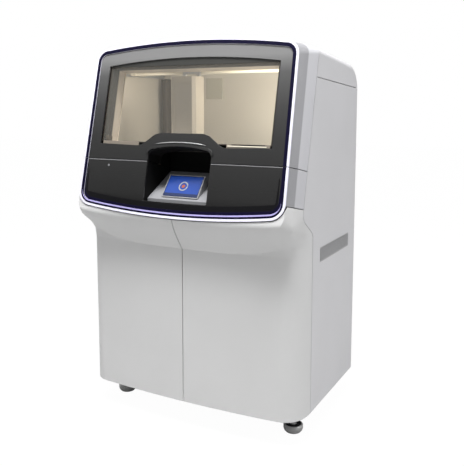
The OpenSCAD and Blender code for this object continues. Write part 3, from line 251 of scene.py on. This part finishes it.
# points along the rim set in by a distance: all of it, or its lower part up to a count of points
def rimPath(inset, top=None):
    low, high, sag = face["halfLow"], face["halfTop"], face["sag"]
    normal = Vector((faceLength, low - high)).normalized()
    point = Vector((low, 0))
    bigTop = (high * high + sag * sag) / (2 * sag)
    bigLow = (low * low + sag * sag) / (2 * sag)
    topCentre, lowCentre = Vector((0, faceLength - bigTop)), Vector((0, bigLow))
    upper = cornerCentre(normal, point, face["cornerTop"], topCentre, bigTop, 1)
    lower = cornerCentre(normal, point, face["cornerLow"], lowCentre, bigLow, -1)
    endTop = math.atan2(upper.y - topCentre.y, upper.x)
    endLow = math.atan2(lower.y - lowCentre.y, lower.x)
    square = math.atan2(normal.y, normal.x)
    right = arcPoints(lowCentre, bigLow - inset, -math.pi / 2, endLow, 30)
    right += arcPoints(lower, face["cornerLow"] - inset, endLow, square, 14)[1:]
    crown = arcPoints(upper, face["cornerTop"] - inset, square, endTop, 14)
    start, stop = right[-1], crown[0]
    right += [start.lerp(stop, i / 24) for i in range(1, 24)]
    if top is None:
        right += crown + arcPoints(topCentre, bigTop - inset, endTop, math.pi / 2, 30)[1:]
        return right + [Vector((-p.x, p.y)) for p in reversed(right[1:-1])]
    right = right[:top]
    return [Vector((-p.x, p.y)) for p in reversed(right[1:])] + right


# finishes: colour is linear, grain is a depth in metres and scale is per metre; tone is how far the colour
# drifts, fade a list of (way up the face, colour), chamfer (depth behind the face, tone as far as there) for painted
# shade
finishes = {
    "cabinet_paint": {"colour": (0.630, 0.628, 0.645), "rough": 0.46, "grain": 2e-5, "scale": 1300, "tone": 0.02},
    "door_paint": {"colour": (0.640, 0.640, 0.640), "rough": 0.44, "grain": 1.5e-5, "scale": 1300, "tone": 0.015},
    # painted shade: head_paint is darkened to 0.58 on its front chamfer, up to 45 mm behind the face
    "head_paint": {"colour": (0.520, 0.520, 0.545), "rough": 0.42, "grain": 1.5e-5, "scale": 1300, "tone": 0.02,
                   "chamfer": (0.045, 0.58)},
    # painted reflection: the gloss face's colour rises from near black at its foot to grey at its top
    "gloss_face": {"colour": (0.020, 0.020, 0.020), "rough": 0.2, "grain": 4e-6, "scale": 500, "tone": 0.05,
                   "fade": ((0.075, 0.004), (0.125, 0.013), (0.45, 0.022), (0.62, 0.038), (0.80, 0.080),
                            (0.90, 0.19))},
    "dark_plastic": {"colour": (0.007, 0.007, 0.007), "rough": 0.6, "shine": 0.25, "grain": 4e-5, "scale": 900,
                     "tone": 0.15},
    "light_trim": {"colour": (0.84, 0.83, 0.95), "rough": 0.3, "grain": 4e-6, "scale": 600, "tone": 0.02},
    "navy_trim": {"colour": (0.003, 0.002, 0.019), "rough": 0.3, "shine": 0.15, "grain": 4e-6, "scale": 600,
                  "tone": 0.06},
    "window_glass": {"colour": (0.55, 0.56, 0.54), "rough": 0.04, "alpha": 0.05, "scale": 300, "tone": 0.01},
    "display_glass": {"colour": (0.01, 0.02, 0.08), "rough": 0.12, "scale": 300, "tone": 0.02},
    "seal_rubber": {"colour": (0.030, 0.026, 0.022), "rough": 0.75, "grain": 6e-5, "scale": 700, "tone": 0.2},
    "zinc_steel": {"colour": (0.42, 0.43, 0.45), "rough": 0.38, "metal": 1.0, "grain": 2e-5, "scale": 240,
                   "tone": 0.10, "brush": (1, 1, 14)},
    "machined": {"colour": (0.60, 0.61, 0.63), "rough": 0.30, "metal": 1.0, "grain": 1e-5, "scale": 300,
                 "tone": 0.06, "brush": (16, 1, 1)},
    "chamber_paint": {"colour": (0.60, 0.555, 0.47), "rough": 0.48, "grain": 3e-5, "scale": 1100, "tone": 0.03},
    "console_plastic": {"colour": (0.30, 0.303, 0.318), "rough": 0.4, "grain": 2e-5, "scale": 1400, "tone": 0.02},
    "lamp": {"colour": (0.85, 0.87, 0.80), "rough": 0.3, "scale": 500, "tone": 0.01, "glow": 0.5},
    "rack_plastic": {"colour": (0.05, 0.10, 0.10), "rough": 0.42, "grain": 3e-5, "scale": 900, "tone": 0.06},
    "bottle_plastic": {"colour": (0.70, 0.71, 0.69), "rough": 0.35, "grain": 2e-5, "scale": 400, "tone": 0.05,
                       "milk": 0.2},
    "cap_plastic": {"colour": (0.02, 0.07, 0.30), "rough": 0.35, "grain": 2e-5, "scale": 900, "tone": 0.06},
    "cartridge_plastic": {"colour": (0.66, 0.67, 0.69), "rough": 0.35, "grain": 2e-5, "scale": 900, "tone": 0.04},
    # further finishes, for nodes and pieces whose look differs from their slot's
    # painted shade: a darker copy of the chamber paint for the column's shaded front
    "column_shaded_paint": {"colour": (0.51, 0.455, 0.37), "rough": 0.5, "grain": 3e-5, "scale": 1100, "tone": 0.03},
    # painted light: a lighter copy of the chamber paint for the aperture frame's shaded front
    "frame_lit_cream": {"colour": (0.80, 0.70, 0.55), "rough": 0.5, "grain": 3e-5, "scale": 1100, "tone": 0.03},
    # painted highlight: pale cream for the bright lines along the gantry beam and the window sill's lip
    "beam_cream": {"colour": (0.80, 0.74, 0.60), "rough": 0.35, "grain": 2e-5, "scale": 1100, "tone": 0.03},
    # painted light and shade: the liner is dark brown for 62 mm behind the face and light cream further back, like the
    # lit wall beyond, and near black below 0.41 of the way up the face
    "liner_brown": {"colour": (0.50, 0.43, 0.34), "rough": 0.55, "grain": 4e-5, "scale": 900, "tone": 0.08,
                    "chamfer": (0.062, 0.10),
                    "fade": ((0.0, 0.003), (0.405, 0.003), (0.415, 0.50), (1.0, 0.50))},
    # dark brown: painted shadow on the strip in the chamber's back-left corner, and the window clip's colour
    "duct_brown": {"colour": (0.075, 0.056, 0.034), "rough": 0.6, "grain": 4e-5, "scale": 900, "tone": 0.08},
    # painted shadow: a darker sand for the plate on the back wall right of the column
    "cover_sand": {"colour": (0.46, 0.43, 0.345), "rough": 0.45, "grain": 3e-5, "scale": 900, "tone": 0.04},
    "sill_sand": {"colour": (0.22, 0.19, 0.155), "rough": 0.5, "grain": 3e-5, "scale": 900, "tone": 0.03},
    "vent_paint": {"colour": (0.44, 0.44, 0.45), "rough": 0.5, "grain": 2e-5, "scale": 1300, "tone": 0.03},
    # black for the fascia's bevel, and painted shade on the feet and the sill's slot
    "bevel_black": {"colour": (0.003, 0.003, 0.004), "rough": 0.35, "grain": 4e-6, "scale": 600, "tone": 0.1,
                    "shine": 0.2},
    # painted shade: dark grey for the band behind the window's arch
    "frit_grey": {"colour": (0.030, 0.030, 0.027), "rough": 0.4, "grain": 4e-6, "scale": 600, "tone": 0.06},
    "niche_black": {"colour": (0.003, 0.003, 0.003), "rough": 0.7, "shine": 0.15, "grain": 4e-5, "scale": 900,
                    "tone": 0.2},
    # painted highlight: a pale violet strip along the trim's lower part
    "violet_line": {"colour": (0.46, 0.42, 0.78), "rough": 0.28, "grain": 3e-6, "scale": 600, "tone": 0.04},
    # painted highlight on the edge above the fascia; also the status lamp's own dim grey
    "split_light": {"colour": (0.24, 0.24, 0.25), "rough": 0.3, "grain": 4e-6, "scale": 600, "tone": 0.05},
    # painted highlight: bright silver for the bar on the niche's lip
    "grip_silver": {"colour": (0.66, 0.66, 0.66), "rough": 0.32, "metal": 0.7, "grain": 5e-6, "scale": 700,
                    "tone": 0.04, "brush": (10, 1, 1)},
    "screen_blue": {"colour": (0.014, 0.050, 0.26), "rough": 0.15, "scale": 20, "tone": 0.25, "own": 0.2},
    "screen_white": {"colour": (0.30, 0.31, 0.36), "rough": 0.2, "scale": 300, "tone": 0.03, "own": 0.08},
    "screen_coral": {"colour": (0.36, 0.09, 0.05), "rough": 0.2, "scale": 300, "tone": 0.05, "own": 0.2},
    "screen_dark": {"colour": (0.012, 0.025, 0.09), "rough": 0.2, "scale": 300, "tone": 0.1},
    # painted shade: dark grey for the sheet behind the vent slats
    "vent_dark": {"colour": (0.10, 0.10, 0.105), "rough": 0.6, "grain": 3e-5, "scale": 900, "tone": 0.06},
    "foot_satin": {"colour": (0.50, 0.50, 0.50), "rough": 0.34, "metal": 0.35, "grain": 2e-5, "scale": 500,
                   "tone": 0.08},
}
# nodes that take another finish than their slot's
finishOf = {
    "niche_liner": "niche_black",
    "touchscreen": "console_plastic",
    "vent_grilles": "vent_paint",
    # painted light and shade: the column takes a darker copy of the chamber paint, the aperture frame a lighter one,
    # the beam a pale cream for its highlights
    "pipette_column": "column_shaded_paint",
    "aperture_frame": "frame_lit_cream",
    "gantry_beam": "beam_cream",
    "upper_door_liner": "liner_brown",
    "levelling_feet": "foot_satin",
    "status_lamp": "split_light",
}


patchScale = 3.5        # size of the soft patches in every colour, per metre
chamferBlur = 0.002
edgeRadius = 0.002      # how far edges look rounded


def tinted(tree, colour, where, scale, tone):
    noise = addNode(tree, "ShaderNodeTexNoise")
    setInputs(noise, {"Scale": scale, "Detail": 3})
    ramp = addNode(tree, "ShaderNodeValToRGB")
    low, high = ramp.color_ramp.elements
    low.position, high.position = 0.3, 0.7
    low.color = [c * (1 - tone) for c in colour] + [1]
    high.color = [min(1, c * (1 + tone)) for c in colour] + [1]
    tree.links.new(where, noise.inputs["Vector"])
    tree.links.new(noise.outputs["Fac"], ramp.inputs["Fac"])
    return ramp.outputs["Color"]


def along(tree, where, direction, start, span):
    # distance along a direction from a start point, 0 to 1 over the span
    dot = addNode(tree, "ShaderNodeVectorMath", operation="DOT_PRODUCT")
    dot.inputs[1].default_value = direction
    spread = addNode(tree, "ShaderNodeMapRange")
    offset = Vector(start).dot(Vector(direction))
    setInputs(spread, {"From Min": offset, "From Max": offset + span})
    tree.links.new(where, dot.inputs[0])
    tree.links.new(dot.outputs["Value"], spread.inputs["Value"])
    return spread.outputs["Result"]


def upFace(tree, where):
    return along(tree, where, (0, sinTilt, cosTilt), onFace(0, 0, 0), faceLength)


def behindFace(tree, where):
    return along(tree, where, (0, cosTilt, -sinTilt), onFace(0, 0, 0), 1.0)


def shaded(tree, colour, place, steps):
    # multiplies a colour by a tone that changes along the place
    highest = max(tone for at, tone in steps)
    ramp = addNode(tree, "ShaderNodeValToRGB")
    stops = ramp.color_ramp.elements
    while len(stops) < len(steps):
        stops.new(0.5)
    for stop, (at, tone) in zip(stops, steps):
        stop.position = at
        stop.color = (tone / highest,) * 3 + (1,)
    mix = addNode(tree, "ShaderNodeVectorMath", operation="MULTIPLY")
    lift = addNode(tree, "ShaderNodeVectorMath", operation="SCALE")
    lift.inputs["Scale"].default_value = highest
    tree.links.new(place, ramp.inputs["Fac"])
    tree.links.new(colour, mix.inputs[0])
    tree.links.new(ramp.outputs["Color"], mix.inputs[1])
    tree.links.new(mix.outputs[0], lift.inputs[0])
    return lift.outputs[0]


def baseColour(tree, look, place, where):
    colour = tinted(tree, look["colour"], where, patchScale, look["tone"])
    # fade changes the colour up the face; on the gloss face it is a painted reflection
    if "fade" in look:
        steps = [(v, c / look["colour"][0]) for v, c in look["fade"]]
        colour = shaded(tree, colour, upFace(tree, place), steps)
    # chamfer: painted shade, darker as far as the given depth behind the face
    if "chamfer" in look:
        deep, tone = look["chamfer"]
        steps = ((0, tone), (deep - chamferBlur, tone), (deep + chamferBlur, 1.0), (1, 1.0))
        colour = shaded(tree, colour, behindFace(tree, place), steps)
    return colour


def roughness(tree, look, grain):
    spread = addNode(tree, "ShaderNodeMapRange")
    setInputs(spread, {"To Min": look["rough"] * 0.85, "To Max": look["rough"] * 1.15})
    tree.links.new(grain, spread.inputs["Value"])
    return spread.outputs["Result"]


def surfaceNormal(tree, look, grain):
    edge = addNode(tree, "ShaderNodeBevel", samples=4)
    edge.inputs["Radius"].default_value = edgeRadius
    if "grain" not in look:
        return edge.outputs["Normal"]
    bump = addNode(tree, "ShaderNodeBump")
    setInputs(bump, {"Strength": 1.0, "Distance": look["grain"]})
    tree.links.new(grain, bump.inputs["Height"])
    tree.links.new(edge.outputs["Normal"], bump.inputs["Normal"])
    return bump.outputs["Normal"]


def evenValues(look):
    values = {"Metallic": look.get("metal", 0.0)}
    if "shine" in look:
        values["Specular IOR Level"] = look["shine"]
    if "alpha" in look:
        values["Alpha"] = look["alpha"]
    if "glow" in look:
        values.update({"Emission Color": (1.0, 0.98, 0.94, 1), "Emission Strength": look["glow"]})
    if "own" in look:
        values.update({"Emission Color": (*look["colour"], 1), "Emission Strength": look["own"]})
    if "milk" in look:
        values.update({"Subsurface Weight": look["milk"], "Subsurface Radius": (0.01, 0.01, 0.01)})
    return values


def finish(name, look):
    material = bpy.data.materials.new("finish_" + name)
    material.use_nodes = True
    tree = material.node_tree
    link = tree.links.new
    shader = tree.nodes["Principled BSDF"]
    place = addNode(tree, "ShaderNodeTexCoord").outputs["Object"]
    where = place
    if "brush" in look:
        mapping = addNode(tree, "ShaderNodeMapping")
        mapping.inputs["Scale"].default_value = look["brush"]
        link(place, mapping.inputs["Vector"])
        where = mapping.outputs["Vector"]
    fine = addNode(tree, "ShaderNodeTexNoise")
    setInputs(fine, {"Scale": look["scale"], "Detail": 2})
    link(where, fine.inputs["Vector"])
    link(baseColour(tree, look, place, where), shader.inputs["Base Color"])
    link(roughness(tree, look, fine.outputs["Fac"]), shader.inputs["Roughness"])
    link(surfaceNormal(tree, look, fine.outputs["Fac"]), shader.inputs["Normal"])
    setInputs(shader, evenValues(look))
    return material


materials = {name: finish(name, look) for name, look in finishes.items()}
print("finishes made")


def smoothByAngle(angle):
    group = bpy.data.node_groups.new("smoothByAngle", "GeometryNodeTree")
    group.interface.new_socket("Geometry", in_out="INPUT", socket_type="NodeSocketGeometry")
    group.interface.new_socket("Geometry", in_out="OUTPUT", socket_type="NodeSocketGeometry")
    start = addNode(group, "NodeGroupInput")
    end = addNode(group, "NodeGroupOutput")
    merge = addNode(group, "GeometryNodeMergeByDistance")
    merge.inputs["Distance"].default_value = 2e-5
    edges = addNode(group, "GeometryNodeInputMeshEdgeAngle")
    small = addNode(group, "FunctionNodeCompare", data_type="FLOAT", operation="LESS_THAN")
    small.inputs["B"].default_value = angle
    faces = addNode(group, "GeometryNodeSetShadeSmooth", domain="FACE")
    creases = addNode(group, "GeometryNodeSetShadeSmooth", domain="EDGE")
    link = group.links.new
    link(start.outputs[0], merge.inputs["Geometry"])
    link(merge.outputs[0], faces.inputs["Geometry"])
    link(edges.outputs["Unsigned Angle"], small.inputs["A"])
    link(small.outputs[0], creases.inputs["Shade Smooth"])
    link(faces.outputs[0], creases.inputs["Geometry"])
    link(creases.outputs[0], end.inputs[0])
    return group


smoothing = smoothByAngle(math.radians(28))


def smoothShade(item):
    made = item.modifiers.new("smoothByAngle", "NODES")
    made.node_group = smoothing
    item.modifiers.new("weighted", "WEIGHTED_NORMAL").keep_sharp = True


def dressNodes():
    slots = {part["node"]: part["material_slot"] for part in frame["record"]["subparts"]}
    for name, item in nodes.items():
        for slot in item.material_slots:
            slot.material = materials[finishOf.get(name, slots[name])]
        custom = item.data.attributes.get("custom_normal")
        if custom:
            item.data.attributes.remove(custom)
        smoothShade(item)


dressNodes()
print("nodes dressed")

def meshPiece(name, verts, faces, finishName, body, slot, bevel=0.0004, smooth=True):
    mesh = bpy.data.meshes.new(name)
    mesh.from_pydata([tuple(v) for v in verts], [], faces)
    build = bmesh.new()
    build.from_mesh(mesh)
    bmesh.ops.remove_doubles(build, verts=build.verts, dist=1e-6)
    bmesh.ops.recalc_face_normals(build, faces=build.faces)
    build.to_mesh(mesh)
    build.free()
    item = bpy.data.objects.new(name, mesh)
    bpy.context.scene.collection.objects.link(item)
    mesh.materials.append(materials[finishName])
    if bevel:
        edges = item.modifiers.new("bevel", "BEVEL")
        edges.width = bevel
        edges.segments = 2
        edges.limit_method = "ANGLE"
    if smooth:
        smoothShade(item)
    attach(item, body)
    return item


# a closed solid through rings of equal point counts
def loft(sections):
    count = len(sections[0])
    verts = [p for ring in sections for p in ring]
    faces = [tuple(range(count)), tuple(range((len(sections) - 1) * count, len(sections) * count))]
    for k in range(len(sections) - 1):
        for i in range(count):
            j = (i + 1) % count
            faces.append((k * count + i, k * count + j, (k + 1) * count + j, (k + 1) * count + i))
    return verts, faces


# lines round the sloping face, the violet one a painted highlight on the trim's lower part: inset from the rim and
# depth from the face in mm, reach in points along it
violetHighlight = {"inset": (18.5, 25.0), "deep": (3.0, 5.0), "reach": 45}
navyLine = {"inset": (24.5, 38.0), "deep": (-0.5, 1.2), "reach": 50}
fasciaBevel = {"inset": (34.0, 62.0), "deep": (-0.5, 0.8), "reach": 49}


def rimBar(name, look, finishName, body, slot):
    outer, inner = (rimPath(inset / 1000, look["reach"]) for inset in look["inset"])
    low, high = (w / 1000 for w in look["deep"])
    sections = []
    last = len(outer) - 1
    for i, (a, b) in enumerate(zip(outer, inner)):
        fade = min(1, min(i, last - i) / 12)
        b = a.lerp(b, 0.15 + 0.85 * fade * fade * (3 - 2 * fade))
        sections.append([onFace(a.x, a.y, low), onFace(a.x, a.y, high), onFace(b.x, b.y, high), onFace(b.x, b.y, low)])
    return meshPiece(name, *loft(sections), finishName, body, slot)


rimBar("violet_line", violetHighlight, "violet_line", "root", "light_trim")
rimBar("navy_line", navyLine, "navy_trim", "root", "navy_trim")
rimBar("fascia_bevel", fasciaBevel, "bevel_black", "root", "gloss_face")

# painted highlight: a pale line on the edge between the upper door and the fascia, in mm
splitHighlight = {"v": (236.0, 239.1), "deep": (-1.0, 0.9), "from": 158.5, "to": 480.0, "parts": 12}


def splitHighlights(look):
    v0, v1 = (v / 1000 for v in look["v"])
    low, high = (w / 1000 for w in look["deep"])
    for side, name in ((-1, "split_highlight_left"), (1, "split_highlight_right")):
        sections = []
        for i in range(look["parts"] + 1):
            x = side * (look["from"] + (look["to"] - look["from"]) * i / look["parts"]) / 1000
            sections.append([onFace(x, v0, low), onFace(x, v0, high), onFace(x, v1, high), onFace(x, v1, low)])
        meshPiece(name, *loft(sections), "split_light", "root", "gloss_face")


splitHighlights(splitHighlight)

# painted highlight: a bright silver bar on the lip over the screen niche, in mm
gripHighlight = {"v": 319.0, "half": 127.0, "tall": 5.6, "proud": 5.5, "arch": 9.0}


def gripHighlightBar(look):
    half, tall, proud, arch = (look[k] / 1000 for k in ("half", "tall", "proud", "arch"))
    sections = []
    for i in range(41):
        t = -1 + 2 * i / 40
        slim = max(0.08, 1 - abs(t) ** 6)       # the ends taper
        v = look["v"] / 1000 + arch * (1 - t * t) - arch / 2
        ring = []
        for k in range(12):
            a = 2 * math.pi * k / 12
            ring.append(onFace(half * t, v + tall / 2 * slim * math.sin(a), proud * slim * max(-0.2, math.cos(a))))
        sections.append(ring)
    meshPiece("grip_highlight", *loft(sections), "grip_silver", "upper_door", "light_trim", bevel=0)


gripHighlightBar(gripHighlight)

# painted shade: a dark band just behind the glass between the arch and the straight frame behind it, for the shaded
# ceiling seen through the window, in metres
windowShade = {"half": 0.4145, "low": 0.660, "top": 0.694, "sag": 0.028, "arch": 0.424, "w": (-0.0078, -0.0070)}


def windowShadeBand(look):
    back, front = look["w"]
    sections = []
    for i in range(33):
        x = look["half"] * (-1 + i / 16)
        top = look["top"] - look["sag"] * (x / look["arch"]) ** 2 - 0.0005
        low = min(look["low"], top - 0.003)
        sections.append([onFace(x, low, back), onFace(x, low, front), onFace(x, top, front), onFace(x, top, back)])
    meshPiece("window_shade_band", *loft(sections), "frit_grey", "upper_door", "gloss_face", bevel=0)


windowShadeBand(windowShade)
print("face pieces made")

# the picture on the touch screen, in metres: a ring with its dot, over a bar
screen = {"ring": (0.023, 0.0165), "dot": 0.0085, "bar": 0.013, "edge": 0.003, "raise": 0.00025}


def glassPlane():
    mesh = nodes["screen_glass"].data
    normal = max(mesh.polygons, key=lambda f: f.area * (f.normal.z > 0.5)).normal.copy()
    low, high = Vector(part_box("screen_glass")[0]), Vector(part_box("screen_glass")[1])
    up = Vector((0, normal.z, -normal.y)).normalized()
    middle = Vector(((low.x + high.x) / 2, 0, 0))
    top = max(v.co.dot(up) for v in mesh.vertices)
    foot = min(v.co.dot(up) for v in mesh.vertices)
    level = max(v.co.dot(normal) for v in mesh.vertices)
    centre = middle + up * ((top + foot) / 2 - middle.dot(up)) + normal * (level - middle.dot(normal))
    return {"centre": centre, "up": up, "normal": normal, "wide": (high.x - low.x) / 2, "tall": (top - foot) / 2}


def onGlass(glass, x, y, lift):
    return glass["centre"] + Vector((x, 0, 0)) + glass["up"] * y + glass["normal"] * lift


def screenPanel(glass, name, wide, y0, y1, lift, finishName):
    sections = []
    for i in range(9):
        x = -wide + 2 * wide * i / 8
        sections.append([onGlass(glass, x, y, h) for y, h in ((y0, 0), (y0, lift), (y1, lift), (y1, 0))])
    meshPiece(name, *loft(sections), finishName, "root", "display_glass", bevel=0)


def screenRing(glass, look):
    outer, inner = look["ring"]
    low, high = look["raise"], 2.5 * look["raise"]
    sections = []
    for i in range(49):
        c, s = math.cos(math.pi * i / 24), math.sin(math.pi * i / 24)
        sections.append([onGlass(glass, r * c, r * s, h)
                         for r, h in ((inner, low), (inner, high), (outer, high), (outer, low))])
    meshPiece("screen_ring", *loft(sections), "screen_white", "root", "display_glass", bevel=0)


def screenDot(glass, look):
    turns = [math.pi * i / 16 for i in range(32)]
    spots = [(look["dot"] * math.cos(a), look["dot"] * math.sin(a)) for a in turns]
    sections = [[onGlass(glass, x, y, h) for x, y in spots] for h in (0, 2.5 * look["raise"])]
    meshPiece("screen_dot", *loft(sections), "screen_coral", "root", "display_glass", bevel=0)


def screenPieces(look):
    glass = glassPlane()
    wide, tall = glass["wide"] - look["edge"], glass["tall"] - look["edge"]
    screenPanel(glass, "screen_picture", wide, -tall, tall, look["raise"], "screen_blue")
    screenPanel(glass, "screen_bar", wide, -tall, -tall + look["bar"], 2 * look["raise"], "screen_dark")
    screenRing(glass, look)
    screenDot(glass, look)


screenPieces(screen)
print("screen pieces made")

# dark uprights on the chamber walls, in metres, painted shadow in the back-left corner and on the back wall right of
# the column; rib is the depth of the corner strip's fine ribs
cornerShadowStrip = {"x": (-0.4672, -0.4357), "y": (0.240, 0.2946), "z": (1.105, 1.556), "corner": 0.012, "rib": 0.0012}
wallShadowPlate = {"x": (-0.228, -0.132), "y": (0.2900, 0.2948), "z": (1.452, 1.558), "corner": 0.003, "rib": 0.0}


def upright(name, look, finishName):
    (x0, x1), (y0, y1), (z0, z1) = look["x"], look["y"], look["z"]
    corner = look["corner"]
    outline = [(x0, y1), (x0, y0)]
    for i in range(9):
        a = -math.pi / 2 + math.pi / 2 * i / 8
        outline.append((x1 - corner + corner * math.cos(a), y0 + corner + corner * math.sin(a)))
    outline.append((x1, y1))
    sections = []
    for i in range(25):
        z = z0 + (z1 - z0) * i / 24
        pinch = look["rib"] if i % 3 == 1 and 1 < i < 23 else 0.0
        sections.append([(x - pinch * (x > x0), y + pinch * (y < y1), z) for x, y in outline])
    meshPiece(name, *loft(sections), finishName, "root", "chamber_paint", bevel=0)


upright("corner_shadow_strip", cornerShadowStrip, "duct_brown")
upright("wall_shadow_plate", wallShadowPlate, "cover_sand")

# strips along the foot of the window, in metres: across, up the face and out from it; the slot's black strip is
# painted shade, the lip's pale cream strip a painted highlight
windowSill = {"x": (0.2175, 0.4135), "v": (0.3066, 0.3246), "w": (-0.0079, -0.0070)}
sillSlotShade = {"x": (0.240, 0.392), "v": (0.3195, 0.3238), "w": (-0.0078, -0.0064)}
sillLipHighlight = {"x": (0.222, 0.398), "v": (0.3130, 0.3180), "w": (-0.0078, -0.0050), "soft": 0.0012}
windowClip = {"x": (-0.4146, -0.400), "v": (0.330, 0.352), "w": (-0.050, -0.020), "soft": 0.002}


def slopeBar(name, look, finishName, slot, side=1):
    (x0, x1), (v0, v1), (w0, w1) = look["x"], look["v"], look["w"]
    sections = []
    for i in range(11):
        x = side * (x0 + (x1 - x0) * i / 10)
        sections.append([onFace(x, v0, w0), onFace(x, v0, w1), onFace(x, v1, w1), onFace(x, v1, w0)])
    meshPiece(name, *loft(sections), finishName, "upper_door", slot, bevel=look.get("soft", 0.0004))


slopeBar("window_sill_right", windowSill, "sill_sand", "chamber_paint")
slopeBar("window_sill_left", windowSill, "sill_sand", "chamber_paint", side=-1)
# painted shade: a black strip for the slot's dark
slopeBar("sill_slot_shade", sillSlotShade, "bevel_black", "dark_plastic")
# painted highlight: the lip's pale cream strip
slopeBar("sill_lip_highlight", sillLipHighlight, "beam_cream", "chamber_paint")
slopeBar("window_clip", windowClip, "duct_brown", "dark_plastic")
print("chamber pieces made")

# a dark sheet, painted shade for the gaps between the slats, with fine slats over each side vent, in metres: x is the
# sheet's back, its front and the slats' front
sideVent = {"y": (-0.0685, 0.2985), "z": (0.7635, 0.8155), "x": (0.5386, 0.5392, 0.5398), "pitch": 0.0052,
            "slat": 0.0030}
blockFaces = ((0, 1, 3, 2), (4, 6, 7, 5), (0, 4, 5, 1), (2, 3, 7, 6), (0, 2, 6, 4), (1, 5, 7, 3))


def blocks(xs, spans, zs):
    verts, faces = [], []
    for span in spans:
        start = len(verts)
        verts += [(x, y, z) for x in xs for y in span for z in zs]
        faces += [tuple(start + i for i in corners) for corners in blockFaces]
    return verts, faces


def ventPieces(look):
    back, sheet, front = look["x"]
    slats = []
    y = look["y"][0]
    while y + look["slat"] <= look["y"][1]:
        slats.append((y, y + look["slat"]))
        y += look["pitch"]
    for side, name in ((-1, "left"), (1, "right")):
        plate = blocks((side * back, side * sheet), [look["y"]], look["z"])
        meshPiece("vent_shade_sheet_" + name, *plate, "vent_dark", "root", "dark_plastic", bevel=0, smooth=False)
        grid = blocks((side * sheet, side * front), slats, look["z"])
        meshPiece("vent_slats_" + name, *grid, "vent_paint", "root", "dark_plastic", bevel=0, smooth=False)


ventPieces(sideVent)

# painted shade: a black ring on the top of each foot, where the shadow under the cabinet falls, as (radius, height) in
# metres
footShadeRing = ((0.0150, 0.0382), (0.0345, 0.0382), (0.0355, 0.0386), (0.0355, 0.0376), (0.0150, 0.0376))


def footSpots():
    # the middle of each pad, from the points where the feet meet the floor
    pads = {}
    for point in (v.co for v in nodes["levelling_feet"].data.vertices):
        if point.z < 0.0002:
            pads.setdefault((point.x > 0, point.y > 0), []).append(point)
    return [[(min(p[i] for p in pad) + max(p[i] for p in pad)) / 2 for i in (0, 1)] for pad in pads.values()]


def footShadeRings(profile):
    for number, (x, y) in enumerate(footSpots(), 1):
        sections = []
        for k in range(49):
            a = 2 * math.pi * k / 48
            sections.append([(x + r * math.cos(a), y + r * math.sin(a), z) for r, z in profile])
        meshPiece("foot_ring_%d" % number, *loft(sections), "bevel_black", "root", "dark_plastic", bevel=0)


footShadeRings(footShadeRing)
print("vent and foot pieces made")

bpy.context.scene.view_settings.view_transform = "Standard"
